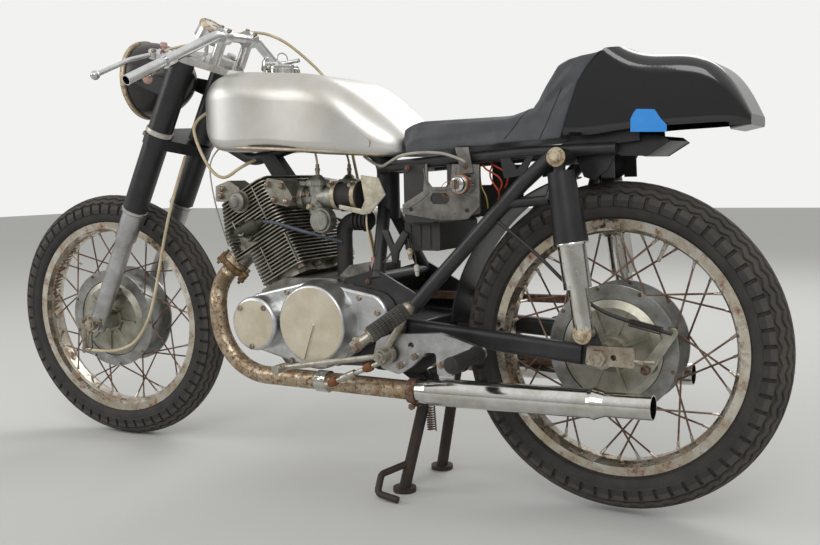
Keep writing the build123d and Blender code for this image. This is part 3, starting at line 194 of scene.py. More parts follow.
def turned(profile, steps=24):
    """A piece as from a lathe: a profile of (radius, length) in mm is drawn and spun round Z."""
    bpy.ops.object.select_all(action="DESELECT")
    bpy.ops.mesh.primitive_plane_add(size=0.001)
    bpy.ops.object.mode_set(mode="EDIT")
    bpy.ops.mesh.select_mode(type="VERT")
    bpy.ops.mesh.merge(type="CENTER")
    bpy.ops.transform.translate(value=(profile[0][0] / 1000, 0, profile[0][1] / 1000))
    for (radius, along), (next_radius, next_along) in zip(profile, profile[1:]):
        step = ((next_radius - radius) / 1000, 0, (next_along - along) / 1000)
        bpy.ops.mesh.extrude_vertices_move(TRANSFORM_OT_translate={"value": step})
    bpy.ops.mesh.select_all(action="SELECT")
    bpy.ops.mesh.spin(steps=steps, angle=2 * pi, center=(0, 0, 0), axis=(0, 0, 1))
    bpy.ops.mesh.select_all(action="SELECT")
    bpy.ops.mesh.remove_doubles(threshold=0.000002)
    bpy.ops.mesh.normals_make_consistent(inside=False)
    bpy.ops.object.mode_set(mode="OBJECT")
    return bpy.context.object


def fasten(piece, name, finish, places=(Matrix(),), body="chassis", smooth=32.0):
    """Copies a modelled piece to its places, joins the copies, and fixes them to a body with their finish."""
    bpy.ops.object.select_all(action="DESELECT")
    for number, place in enumerate(places):
        copy = piece if number == len(places) - 1 else piece.copy()
        if copy is not piece:
            copy.data = piece.data.copy()
            bpy.context.collection.objects.link(copy)
        copy.data.transform(place @ copy.matrix_world)
        if (place @ copy.matrix_world).determinant() < 0:
            copy.data.flip_normals()
        copy.matrix_world = Matrix()
        copy.select_set(True)
    bpy.context.view_layer.objects.active = piece
    if len(places) > 1:
        bpy.ops.object.join()
    piece.name = name
    piece.data.name = name
    piece.data.materials.clear()
    piece.data.materials.append(finish)
    if smooth:
        bpy.ops.object.shade_smooth_by_angle(angle=radians(smooth))
    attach(piece, body)
    return piece


def turned_piece(name, finish, profile, steps, places=(Matrix(),), body="chassis", smooth=32.0):
    """A piece as from a lathe, fixed at each of its places."""
    return fasten(turned(profile, steps), name, finish, places, body, smooth)


def step_round(place, steps):
    """Which of a turned piece's steps round Z a place is on."""
    return int((atan2(place.y, place.x) / (2 * pi) + 1) * steps)


def inset_faces(piece, chosen, thickness, depth, each=True):
    """Insets the faces whose middles pass a test, each by itself or as one, and moves them out or in."""
    bpy.ops.object.mode_set(mode="EDIT")
    bpy.ops.mesh.select_mode(type="FACE")
    bpy.ops.mesh.select_all(action="DESELECT")
    shape = bmesh.from_edit_mesh(piece.data)
    for face in shape.faces:
        face.select_set(chosen(face.calc_center_median()))
    bmesh.update_edit_mesh(piece.data)
    bpy.ops.mesh.inset(thickness=thickness, depth=depth, use_individual=each)
    bpy.ops.object.mode_set(mode="OBJECT")


def round_section(place, widest, radius, half):
    """How far round a tyre's section a place lies from the crown, and how far out as a share of it."""
    over = (place.xy.length * 1000 - widest) / (radius - widest)
    aside = place.z * 1000 / half
    return atan2(aside, over), (aside ** 2 + over ** 2) ** 0.5


sides = (-1, 1)
side_names = (("near", -1), ("far", 1))
rake, rest_turn, fork_offset = radians(27.0), radians(6.5), 0.050
fork_foot = spot(-1250.45, 0, 285.097)
fork = Matrix.Translation(fork_foot) @ Matrix.Rotation(rake, 4, "Y") @ Matrix.Rotation(rest_turn, 4, "Z")
along_axle = Matrix.Rotation(-pi / 2, 4, "X")
wheels = {
    # body, place, tyre radius, half width
    "front": ("front_road_wheel", fork @ Matrix.Translation((-fork_offset, 0, 0)), 308.0, 39.0),
    "rear": ("rear_road_wheel", Matrix.Translation(spot(0, 0, 320)), 311.0, 45.0),
}
rim_edge = 242.5
tyre_rubber = weathered("aged_tyre_rubber", "#2a2928", "#3a3632", metallic=0.0, roughness=0.78, grain_mm=3.0)
tread_rubber = weathered("dusty_tread_rubber", "#3f3c39", "#4d4843", stain_mm=60, metallic=0.0,
                         roughness=0.85, grain_mm=3.0)
section_table = [
    # degrees round the section from the crown's middle, how deep below its curve in mm
    (0, 0.0), (11, 0.0), (13, 5.0), (18, 5.0), (20, 0.0), (32, 0.0), (34, 5.0), (39, 5.0), (41, 0.0),
    (53, 0.0), (55, 5.5), (61, 5.5), (63, 0.4), (78, 0.2), (93, 0.2), (97, 2.2), (104, 1.6), (113, 1.2),
]
bead_table = [(5.0, 0.83, 0.0), (2.0, 0.0, 28.0), (-12.0, 0.0, 25.6)]     # past the rim, share of half, mm
fullness = 0.38
tread_steps = 240
wave_of_step = [0.0, 1.0, 0.0, -1.0]
wave_degrees = 4.5
block_start, block_end = 62.0, 94.0
slash_edge, slash_depth = 0.0008, 0.0045
dust_reach = 26.0
for end, (body, place, radius, half) in wheels.items():
    widest = rim_edge + fullness * (radius - rim_edge)
    right = []
    for degrees, deep in section_table:
        turn = radians(degrees)
        right.append((widest + (radius - widest - deep) * cos(turn), (half - deep) * sin(turn)))
    right += [(rim_edge + past, share * half + flat) for past, share, flat in bead_table]
    tyre = turned([(reach, -y) for reach, y in right[:0:-1]] + right, steps=tread_steps)
    for point in tyre.data.vertices:
        section, size = round_section(point.co, widest, radius, half)
        if abs(section) < radians(block_start + 0.5):
            step = round((atan2(point.co.y, point.co.x) / (2 * pi) + 1) * tread_steps)
            moved = section + radians(wave_degrees) * wave_of_step[step % len(wave_of_step)]
            reach = (widest + (radius - widest) * size * cos(moved)) / 1000
            point.co = (*(point.co.xy.normalized() * reach), half * size * sin(moved) / 1000)
    inset_faces(tyre, lambda middle: step_round(middle, tread_steps) % len(wave_of_step) == 0
                and radians(block_start + 2) < abs(round_section(middle, widest, radius,
                                                                 half)[0]) < radians(block_end), slash_edge,
                -slash_depth, each=False)
    fasten(tyre, f"{end}_treaded_tyre", tyre_rubber, [place @ along_axle], smooth=28.0, body=body)
    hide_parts(f"{end}_tyre")
    tyre.data.materials.append(tread_rubber)
    for face in tyre.data.polygons:
        reach = (face.center - place.translation).length * 1000
        face.material_index = 1 if reach > radius - dust_reach else 0

# Wheels: rolled steel rims and wire spokes whose plating has gone to rust, on polished alloy
# hubs. Each spoke is pulled up by a plated nipple in the rim; a valve stem points to the hub.
rim_chrome = weathered("rust_pitted_chrome", "#d6d3ca", "#b5a78f", "#84502d", stain_mm=45, rust_mm=26,
                       rust_from=0.59, rust_soft=0.09, roughness=0.2, grain_mm=2.0, grain_high_mm=0.02)
spoke_steel = weathered("rusted_spoke_wire", "#8b7565", "#54392c", "#5a3322", stain_mm=30, metallic=0.5,
                        roughness=0.55)
hub_alloy = weathered("dulled_hub_alloy", "#a9abab", "#85827a", stain_mm=30, roughness=0.42, grain_mm=1.5)
nipple_plating = weathered("pale_nipple_plating", "#c9c4b8", "#a2978a", "#6d4a33", rust_mm=5, roughness=0.35)
wheel_centres = {name: sum(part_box(name), Vector()) / 2 for name in ("front_tyre", "rear_tyre")}
hub_reach, rim_reach = 0.128, 0.2155
spoke_count, spoke_lean, spoke_foot, spoke_top, nipple_y, flange_wall = 36, 34.0, 117.0, 219.0, 7.0, 5.0
valve_foot = 0.217
hub_halves = {"front": 40.0, "rear": 46.0}
valve_angles = {"front": 200.0, "rear": -66.0}


def wheel_part(centre):
    """Which of rim, spoke and hub a face belongs to, by how far it is from the wheel's centre."""
    def sort(face):
        reach = ((face.center.x - centre.x) ** 2 + (face.center.z - centre.z) ** 2) ** 0.5
        return 2 if reach < hub_reach else 1 if reach < rim_reach else 0
    return sort


def aimed(start, way):
    """A place whose Z axis points along a way."""
    return Matrix.Translation(start) @ Vector(way).to_track_quat("Z", "X").to_matrix().to_4x4()


def at(x, y, z, way):
    """A place on the machine in mm, with its Z axis along a way."""
    return aimed(spot(x, y, z), way)


def both(places, way):
    """Places on the far side and their mirrored ones on the near side, with the way mirrored too."""
    return [at(x, side * y, z, (way[0], side * way[1], way[2])) for side in sides for x, y, z in places]


def on_fork(x, y, z, way):
    """A place in mm of the fork's own frame, which turns with the steering, with its Z axis along a way."""
    return fork @ aimed(Vector((x, y, z)) / 1000, way)


for end, (body, place, radius, half) in wheels.items():
    dress(f"{end}_wheel", rim_chrome, spoke_steel, hub_alloy, part=wheel_part(wheel_centres[f"{end}_tyre"]))
    nipple_places, head_places = [], []
    for number in range(spoke_count):
        side = -1 if number % 2 else 1
        outer = number // 2 % 2
        rim_angle = 2 * pi * number / spoke_count
        hub_angle = rim_angle + radians(spoke_lean if outer else -spoke_lean)
        hub_y = side * (hub_halves[end] - flange_wall + flange_wall * outer)
        foot = Vector((spoke_foot * cos(hub_angle), hub_y, spoke_foot * sin(hub_angle))) / 1000
        top = Vector((spoke_top * cos(rim_angle), side * nipple_y, spoke_top * sin(rim_angle))) / 1000
        nipple_places.append(place @ aimed(top, foot - top))
        head_places.append(place @ aimed(foot, Vector((0, side * (1 if outer else -1), 0))))
    turned_piece(f"{end}_spoke_nipples", nipple_plating, [
        (0, -3), (3.4, -3), (3.4, 5), (2.9, 6.5), (2.9, 15), (2.0, 16.5), (0, 16.5)
    ], 8, nipple_places, body=body)
    turned_piece(f"{end}_spoke_heads", spoke_steel, [
        (4.0, -1.0), (4.0, 0.4), (2.6, 2.0), (0, 2.6)
    ], 8, head_places, body=body)
    lean = radians(valve_angles[end])
    way = Vector((cos(lean), 0, -sin(lean)))
    turned_piece(f"{end}_valve_stem", nipple_plating, [
        (0, 0), (6.5, 0), (6.5, 3), (4.2, 4), (4.2, 22), (3.4, 23), (3.4, 28), (4.0, 28.5), (4.0, 37),
        (3.2, 39), (0, 39)
    ], 12, [place @ aimed(way * valve_foot, -way)], body=body)

# Fork: polished and oxidised aluminium sliders, black stove-enamelled covers, cast yokes. A
# rust-stained plated ring seats each upper cover and a bright one ends each lower cover.
slider_alloy = weathered("oxidised_slider_alloy", "#c6c7c8", "#a2a19f", "#8f7d68", rust_from=0.68,
                         roughness=0.38, grain_mm=1.2)
cover_enamel = weathered("scuffed_black_enamel", "#1a1a1c", "#29282a", "#6a625a", rust_mm=8, rust_from=0.72,
                         metallic=0.0, roughness=0.36)
yoke_alloy = weathered("silvered_casting", "#d2d2d1", "#aeada9", "#7a6857", rust_from=0.7, roughness=0.3)
ring_plating = weathered("cream_rusted_plating", "#cdc3ab", "#ab9877", "#7a4e2c", rust_mm=8, rust_from=0.58,
                         metallic=0.4, roughness=0.5)
dress("fork_sliders", slider_alloy)
dress("fork_covers", cover_enamel)
lower_yoke_top = 0.80
dress("fork_yokes", yoke_alloy, cover_enamel, part=lambda face: 1 if face.center.z < lower_yoke_top else 0)
legs = [fork @ Matrix.Translation((-fork_offset, side * 0.090, 0)) for side in sides]
white_ring = weathered("dull_white_plating", "#d4d2cb", "#b3aea2", "#8b7860", rust_mm=9, rust_from=0.66,
                       metallic=0.5, roughness=0.4)
turned_piece("fork_cover_rings", white_ring, [
    (28.0, 0), (31.5, 0.5), (32.2, 3), (32.2, 9), (31.5, 11.5), (28.0, 12)
], 32, [leg @ Matrix.Translation((0, 0, 0.507)) for leg in legs], body="steering")
turned_piece("lower_cover_rings", yoke_alloy, [
    (28.0, 0), (30.0, 0.5), (30.0, 7), (28.0, 8)
], 32, [leg @ Matrix.Translation((0, 0, 0.306)) for leg in legs], body="steering")
turned_piece("fork_cap_nuts", yoke_alloy, [
    (0, 0), (15, 0), (15, 3), (12.5, 3.5), (12.5, 10), (10, 12), (0, 12.5)
], 6, [leg @ Matrix.Translation((0, 0, 0.702)) for leg in legs], body="steering")


def hex_bolt(across_flats, head=5.0, stud=0.0):
    """A bolt's head with its corners turned off, and a stud's end standing out of it."""
    corner = across_flats / 2 / cos(pi / 6)
    profile = [(0, 0), (corner, 0), (corner, head * 0.8), (corner * 0.9, head)]
    thread = across_flats * 0.28
    profile += [(thread, head), (thread, head + stud), (0, head + stud)] if stud else [(0, head)]
    return turned(profile, steps=6)


pinch_places = [
    on_fork(x, side * 90, z, (-1, 0, 0)) for x, z in ((-84, 493), (-79, 696), (-70, -12)) for side in sides
]
bolt_steel = weathered("worn_bolt_steel", "#b5aea2", "#8b7c6a", "#6f4930", rust_mm=5, rust_from=0.55,
                       metallic=0.9, roughness=0.42)
fasten(hex_bolt(12.0, 6.0), "fork_pinch_bolts", bolt_steel, pinch_places, body="steering")

# Handlebar and levers: bare steel tube without grips, polished alloy levers on split perches
# that a screw draws together. A faded knob stands on the left perch.
bar_steel = weathered("bare_silver_steel", "#dfe0e1", "#c3c3c2", "#8b7866", rust_from=0.74, roughness=0.2)
dress("handlebar", bar_steel)
dress("control_levers", bar_steel)
bar_slope = Vector((-4, 255, 113)).normalized()
perches = []
for side in sides:
    lean = Vector((bar_slope.x, -side * bar_slope.y, bar_slope.z))
    ahead = Vector((-1, 0, 0))
    up = lean.cross(ahead) * -side
    middle = Vector((7.24, side * 220.8, 707.7)) / 1000
    turn = Matrix((ahead, up, lean)).transposed().to_4x4()
    perches.append(fork @ Matrix.Translation(middle) @ turn)
turned_piece("lever_pivot_screws", bolt_steel, [
    (0, 0), (5.5, 0), (5.5, 3.2), (4.6, 4.2), (1.2, 4.2), (1.2, 3.0), (0, 3.0)
], 12, [perch @ aimed(Vector((34, 6.5, -6)) / 1000, (0, 1, 0)) for perch in perches], body="steering")
faded_knob = weathered("faded_red_brown_plastic", "#c09a8f", "#a67f74", metallic=0.0, roughness=0.5)
turned_piece("clutch_adjuster_knob", faded_knob, [
    (0, 0), (4, 0), (4, 6), (7.5, 7), (7.5, 13), (6.5, 15), (3.5, 16), (0, 16)
], 16, [perches[0] @ aimed(Vector((22, 9, 10)) / 1000, (0.3, 1, 0.4))], body="steering")


def curve_through(name, points, diameter, kind="NURBS", round_steps=3, along_steps=8, caps=True):
    """A smooth curve, or a chain of straight steps, through points in metres, its diameter in mm."""
    line = bpy.data.curves.new(name, "CURVE")
    line.dimensions = "3D"
    line.bevel_depth = diameter / 2000
    line.bevel_resolution = round_steps
    line.resolution_u = along_steps
    line.use_fill_caps = caps
    spline = line.splines.new(kind)
    spline.points.add(len(points) - 1)
    for point, place in zip(spline.points, points):
        point.co = (*place, 1)
    if kind == "NURBS":
        spline.order_u = 3
        spline.use_endpoint_u = True
    curve = bpy.data.objects.new(name, line)
    bpy.context.collection.objects.link(curve)
    return curve


def as_mesh(curve):
    """Turns a curve into a mesh, for pieces that are solid metal or rubber."""
    bpy.ops.object.select_all(action="DESELECT")
    curve.select_set(True)
    bpy.context.view_layer.objects.active = curve
    bpy.ops.object.convert(target="MESH")
    return bpy.context.object


def drawn_bar(points, diameter, round_steps=3):
    """A bar or bead along one smooth line through its points on the machine."""
    return as_mesh(curve_through("bar", [spot(*point) for point in points], diameter,
                                 round_steps=round_steps))


stalk_places = [(-905, -216, 893), (-930, -217, 884), (-948, -216, 874), (-960, -215, 868)]
fasten(drawn_bar(stalk_places, 7.0), "perch_knob_stalk", bolt_steel, body="steering")
turned_piece("perch_knob", faded_knob, [
    (0, 0), (6, 0), (9.5, 3), (10.5, 8), (9.5, 13), (6, 16), (0, 17)
], 18, [at(-958, -215, 869, (-0.8, 0, -0.5))], body="steering")
clamp_bolts = [on_fork(5 + step, side * 52, 786, (0, 0, 1)) for side in sides for step in (-11, 11)]
fasten(hex_bolt(10.0, 6.0), "bar_clamp_bolts", bolt_steel, clamp_bolts, body="steering")

# Clock: a spun alloy case with a bezel rolled over the glass, a pale dial with plain ticks
# and a black hand, on a bent stalk from the top bridge.
clock = on_fork(-62, -12, 739, (0.2, 0, 1))
dress("speed_clock", bar_steel)
turned_piece("clock_bezel", ring_plating, [
    (30.2, 26), (31.6, 27.5), (32.0, 33), (30.5, 37.5), (26.5, 39.5), (24.6, 38.4), (24.4, 36.2)
], 40, [clock], body="steering")
dial_face = weathered("printed_dial_card", "#dcdad2", "#c9c5b9", metallic=0.0, roughness=0.6)
fasten(turned([(0, 36.05), (24.3, 36.05), (24.3, 36.5), (0, 36.5)], steps=40), "clock_dial", dial_face, [
    clock
], body="steering")
dial_ink = weathered("black_dial_ink", "#1c1c1c", "#242424", metallic=0.0, roughness=0.6)
tick = turned([(0, 0), (0.7, 0), (0.7, 0.25), (0, 0.25)], steps=4)
tick.data.transform(Matrix.Diagonal((3.6, 1, 1, 1)))
fasten(tick, "clock_ticks", dial_ink, [
    clock @ Matrix.Rotation(radians(turn), 4, "Z") @ Matrix.Translation((0.0205, 0, 0.0365))
    for turn in range(-150, 151, 25)
], smooth=None, body="steering")
hand = turned([(0, 0), (2.6, 0), (2.6, 0.8), (0, 0.8)], steps=10)
hand.data.transform(Matrix.Translation((0.006, 0, 0)) @ Matrix.Diagonal((3.6, 0.42, 1, 1)))
fasten(hand, "clock_hand", dial_ink, [
    clock @ Matrix.Rotation(radians(-118), 4, "Z") @ Matrix.Translation((0, 0, 0.0372))
], smooth=None, body="steering")

# Headlamp: pressed steel bowl in dark enamel, a plated rim gone to rust, and a pressed glass
# whose flutes spread the beam. A bolt on each side holds it between the fork's ears.
lamp_enamel = weathered("brown_black_enamel", "#1d1917", "#2c2622", "#55402f", rust_from=0.68, metallic=0.0,
                        roughness=0.3)
lens_glass = weathered("silvered_lamp_glass", "#cfd3d4", "#bfc4c6", metallic=0.75, roughness=0.1,
                       uneven=0.02, coat=1.0)
flutes = lens_glass.node_tree
surface = flutes.nodes["Principled BSDF"]
place = add_node(flutes, "TexCoord").outputs["Object"]
bands = add_node(flutes, "TexWave", {"Vector": place, "Scale": 60.0}, bands_direction="Y",
                 wave_profile="SIN")
ribbed = add_node(flutes, "Bump", {"Height": bands.outputs[1], "Distance": 0.0012, "Strength": 1.0})
flutes.links.new(ribbed.outputs[0], surface.inputs["Normal"])
lamp = on_fork(-186, 0, 583, (-cos(rake), 0, -sin(rake)))
from_lamp = lamp.inverted()
glass_radius, glass_seat = 0.0755, 0.0075


def rim_or_lens(face):
    """Which of the lamp's rim and its glass a face belongs to."""
    seat = from_lamp @ face.center
    return 1 if seat.xy.length < glass_radius and seat.z > glass_seat else 0


dress("headlamp_shell", lamp_enamel)
dress("headlamp_rim", ring_plating, lens_glass, part=rim_or_lens)
fasten(hex_bolt(9.0, 4.0), "lamp_side_bolts", bolt_steel, [
    on_fork(-152.1, side * 97, 600.3, (0, side, 0)) for side in sides
], body="steering")

# Axles and bolts: plain steel, brown with rust. Three nuts clamp the axle under each fork leg.
rusty_steel = weathered("rusty_steel", "#8d8377", "#6d5646", "#6b3f26", rust_mm=9, rust_from=0.5,
                        metallic=0.8, roughness=0.5)
plate_alloy = weathered("weathered_brake_alloy", "#b3b1a6", "#8f8b7b", "#6f6448", stain_mm=35, rust_mm=10,
                        rust_from=0.7, roughness=0.44)
adjuster_steel = weathered("dull_plated_steel", "#beb7a8", "#978c7c", "#7a5238", rust_mm=7, rust_from=0.6,
                           roughness=0.44)
dress("front_axle", adjuster_steel)
fasten(hex_bolt(13.0, 7.0, 6.0), "axle_clamp_nuts", adjuster_steel, [
    on_fork(x, side * 106, z, (0, side, 0)) for side in sides for x, z in ((-36, 14), (-50, -24), (-64, 12))
], body="steering")
dress("frame_bolts", rusty_steel)
dress("rear_axle", adjuster_steel)
dress("front_brake_plate", plate_alloy)
dress("rear_brake_plate", plate_alloy)

# Brake plates: cast alloy, each worked by a steel lever on a splined cam that a nut holds.
# The front plate is anchored to its fork leg by a cast lug with two bolts.
for end, body, cam in (("front", "steering", (-40, -84, -19)), ("rear", "chassis", (74, -86, -24))):
    place = wheels[end][1]
    turned_piece(f"{end}_cam_nut", rusty_steel, [
        (0, 0), (9.5, 0), (9.5, 1.6), (8.2, 1.6), (8.2, 8), (7.4, 9), (4.2, 9), (4.2, 14), (0, 14.5)
    ], 6, [place @ aimed(Vector(cam) / 1000, Vector((0, -1, 0)))], body=body)

cam_place = wheels["front"][1] @ (Vector((-40, -92, -19)) / 1000)
arm_end = spot(-1338, -97, 231)
arm_mm = (arm_end - cam_place).length * 1000
brake_arm = turned([(0, -11), (9, -9), (11, 0), (9, 9), (6.5, 16), (5.5, arm_mm - 10), (8, arm_mm),
                    (6, arm_mm + 7), (0, arm_mm + 9)])
brake_arm.data.transform(Matrix.Diagonal((1, 0.3, 1, 1)))
brake_arm.data.transform(Matrix.Rotation(radians(90), 4, "Z"))
fasten(brake_arm, "front_brake_arm", adjuster_steel, [aimed(cam_place, arm_end - cam_place)], body="steering")
turned_piece("front_cable_adjuster", adjuster_steel, [
    (0, 0), (6.5, 0), (6.5, 3), (3.4, 4), (3.4, 22), (5.6, 23), (5.6, 30), (4.6, 31), (0, 31)
], 12, [at(-1344, -96, 231, (1, -0.02, 0.08))], body="steering")

# Frame: welded steel tube and pressings in satin black, with the welds' beads left standing.
frame_enamel = weathered("satin_black_frame_enamel", "#1d1d1f", "#2d2c2d", "#4d3f35", stain_mm=50, rust_mm=10,
                         rust_from=0.7, metallic=0.0, roughness=0.4)
for name in ("frame_spine", "frame_rear", "swingarm", "stand_pin", "inner_mudguard"):
    dress(name, frame_enamel)
stand_steel = weathered("rusted_black_stand", "#232122", "#352d29", "#4f3527", rust_mm=25, rust_from=0.56,
                        metallic=0.1, roughness=0.6)
dress("centre_stand", stand_steel)


def coil(start, end, radius, wire, turns, steps=12):
    """A close-wound spring between two points, its wire drawn along a helix."""
    along = end - start
    seat = aimed(start, along)
    points = []
    for number in range(turns * steps + 1):
        turn = 2 * pi * number / steps
        climbed = along.length * number / (turns * steps)
        points.append(seat @ Vector((radius * cos(turn), radius * sin(turn), climbed)))
    return as_mesh(curve_through("spring", points, wire, kind="POLY", round_steps=2, caps=False))


fasten(coil(spot(-377, -60, 196), spot(-373, -60, 128), 0.009, 2.6, 14), "stand_spring", rusty_steel)
fasten(coil(spot(46, -93, 382), spot(104, -93, 370), 0.0068, 1.6, 20), "brake_cable_spring", stand_steel)

# Shock absorbers: black enamelled covers over plated bodies whose chrome has pitted. Domed
# nuts on cream plated washers hold the eyes.
shock_chrome = weathered("pitted_shock_chrome", "#dadad8", "#c2bdb2", "#8a735c", rust_mm=16, rust_from=0.66,
                         roughness=0.14, grain_high_mm=0.015)
pale_enamel = weathered("aged_white_enamel", "#c9c6be", "#aaa598", metallic=0.0, roughness=0.45)
pale_side, pale_top = 0.1, 0.63
dress("shock_covers", cover_enamel, pale_enamel,
      part=lambda face: 1 if face.center.y > pale_side and face.center.z < pale_top else 0)
dress("shock_bodies", shock_chrome)
eyes = [(-69, 149.2, 676), (-22, 149.2, 364)]
turned_piece("shock_domed_nuts", ring_plating, [
    (0, 0), (17, 0), (17.5, 1), (17, 2.4), (11, 2.6), (11, 8), (9.5, 9.5), (9, 13), (6, 16.2), (0, 17.2)
], 24, both(eyes, (0, 1, 0)))
shock_way = (spot(-22, 0, 364) - spot(-69, 0, 676)).normalized()
turned_piece("shock_cover_collars", shock_chrome, [
    (25.6, 0), (30.5, 0.5), (31.4, 3), (30.5, 6), (25.6, 6.5)
], 36, [aimed(spot(-69, side * 136, 676) + shock_way * 0.1505, shock_way) for side in sides])

# Engine: sand-cast and die-cast alloy, dull and stained with old oil, bright on the fins' edges.
case_alloy = weathered("oil_stained_casting", "#979590", "#6c6861", "#4a4036", stain_mm=25, rust_mm=18,
                       rust_from=0.66, roughness=0.52, grain_mm=1.6, grain_high_mm=0.12)
fin_alloy = weathered("weathered_fin_alloy", "#aaa79d", "#7d786c", "#5a4a38", stain_mm=30, rust_mm=14,
                      rust_from=0.68, roughness=0.5, grain_mm=1.4)
cover_alloy = weathered("worn_lacquered_alloy", "#dcd4c1", "#c6bba3", "#8c7f66", stain_mm=55, rust_mm=14,
                        rust_from=0.72, metallic=0.75, roughness=0.42)
polished_alloy = weathered("polished_cover_edge", "#d6d8da", "#b7b7b4", "#857b6a", stain_mm=30, rust_mm=12,
                           rust_from=0.7, roughness=0.33)
carb_alloy = weathered("dirty_die_casting", "#a9a8a2", "#87847b", "#5f5445", stain_mm=14, rust_mm=7,
                       rust_from=0.64, roughness=0.45)
dress("crankcase", case_alloy)
dress("cylinder_barrel", fin_alloy)
dress("cylinder_head", fin_alloy)
flat_face, cover_face = 0.985, 0.165
dress("engine_covers", cover_alloy, polished_alloy,
      part=lambda face: 0 if abs(face.normal.y) > flat_face and abs(face.center.y) > cover_face else 1)
dress("carburettors", carb_alloy)
screw_table = [
    # x, z, y of the face it sits on
    (-662, 412, -152), (-613, 426, -152), (-484, 408, -152), (-772, 380, -158), (-724, 300, -196),
    (-690, 383, -196), (-752, 380, -196), (-655, 268, -152), (-560, 268, -152), (-442, 380, -152),
    (-760, 372, 154), (-700, 400, 154), (-636, 418, 154), (-545, 385, 154), (-530, 320, 154),
    (-575, 262, 154), (-655, 258, 154), (-740, 296, 154),
]
turned_piece("cover_screws", bolt_steel, [
    (0, 0), (6.0, 0), (6.0, 3.0), (4.8, 4.4), (1.3, 4.4), (1.3, 2.8), (0, 2.8)
], 14, [at(x, y, z, (0, y, 0)) for x, z, y in screw_table])
turned_piece("cover_screw_lug", cover_alloy, [
    (10, -46), (10, -1), (9, 0), (0, 0)
], 20, [at(-772, -158, 380, (0, -1, 0))])

# Barrel and head: thin cast ties cross the fins, nuts hold the rocker spindles and the top
# web, a domed cap closes each exhaust rocker, and a nut row holds the barrel down.
bores = Matrix.Translation(spot(-709, 0, 443)) @ Matrix.Rotation(radians(-28), 4, "Y")
fin_side = 0.1068
tie_table = [
    # along the fins, from height, to height, in mm of the barrel's own frame
    (-17, 8, 76), (56, 4, 74), (28, 118, 200), (-58, 120, 158),
]


def cast_tie(low, high):
    """A thin rib with rounded edges that stands across the fins."""
    bpy.ops.object.select_all(action="DESELECT")
    bpy.ops.mesh.primitive_cube_add(size=1.0, location=(0, 0, (low + high) / 2000))
    bpy.ops.object.mode_set(mode="EDIT")
    bpy.ops.transform.resize(value=(0.0032, 0.012, (high - low) / 1000))
    bpy.ops.mesh.bevel(offset=0.0011, segments=2)
    bpy.ops.object.mode_set(mode="OBJECT")
    return bpy.context.object


for number, (along, low, high) in enumerate(tie_table):
    fasten(cast_tie(low, high), f"fin_tie_{number + 1}", fin_alloy, [
        bores @ Matrix.Translation((along / 1000, side * fin_side, 0)) for side in sides
    ])
dome_places = both([(-812, 32, 640), (-752, 32, 640)], (0, 0, 1)) + both([
    (-868, 105, 612), (-864, 105, 628), (-738, 105, 636), (-700, 105, 632), (-690, 105, 600), (-722, 105, 604)
], (0, 1, 0))
turned_piece("rocker_dome_nuts", bolt_steel, [
    (0, 0), (8, 0), (8, 1.2), (6.6, 1.4), (6.6, 6), (5.4, 8.4), (3, 10), (0, 10.6)
], 12, dome_places)
turned_piece("exhaust_rocker_caps", case_alloy, [
    (20.6, -1), (20.6, 2), (16, 6.5), (14, 7.2), (12, 10), (8, 11.5), (0, 12)
], 28, both([(-810, 124.6, 600)], (0, 1, 0)))
fasten(hex_bolt(13.0, 9.0, 5.0), "barrel_foot_nuts", bolt_steel, [
    bores @ Matrix.Translation((x / 1000, y / 1000, -0.009)) for x in (-48, 50) for y in (-98, -34, 34, 98)
])

# Plugs: a dark rubber cap over each, and its lead under the carburettors to the coil.
lead_rubber = weathered("blue_grey_lead_rubber", "#4f5560", "#3c4048", metallic=0.0, roughness=0.5)
cap_rubber = weathered("greened_plug_cap", "#3d3b2c", "#2b291f", metallic=0.0, roughness=0.6)
to_middle = Matrix.Translation(spot(0, 0, 0))
mirror_side = to_middle @ Matrix.Diagonal((1, -1, 1, 1)) @ to_middle.inverted()
near_plug = at(-808, -126, 531, (56, 12, 26))
both_ways = (Matrix(), mirror_side)
turned_piece("plug_caps", cap_rubber, [
    (0, -4), (9.5, -3), (11, 0), (11.5, 8), (12.5, 10), (12.5, 13), (11, 15), (13, 30), (14, 42),
    (12, 50), (7.5, 54), (6.5, 62), (5.0, 66), (0, 66)
], 18, [mirrored @ near_plug for mirrored in both_ways])


def lay_wire(name, points, diameter, material):
    """A free wire or cable on one smooth line through its places on the machine."""
    wire = curve_through(name, [spot(*point) for point in points], diameter, along_steps=10)
    wire.data.materials.append(material)
    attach(wire, "chassis")
    return wire


lead_run = [(-752, 113, 557), (-728, 110, 556), (-696, 109, 549), (-662, 108, 540), (-634, 104, 533)]
lead_ends = {"near": [(-604, -82, 522), (-584, -58, 512)], "far": [(-620, 88, 530), (-611, 72, 532)]}
for name, side in side_names:
    points = [(x, side * y, z) for x, y, z in lead_run] + lead_ends[name]
    lay_wire(f"{name}_plug_lead", points, 7.5, lead_rubber)

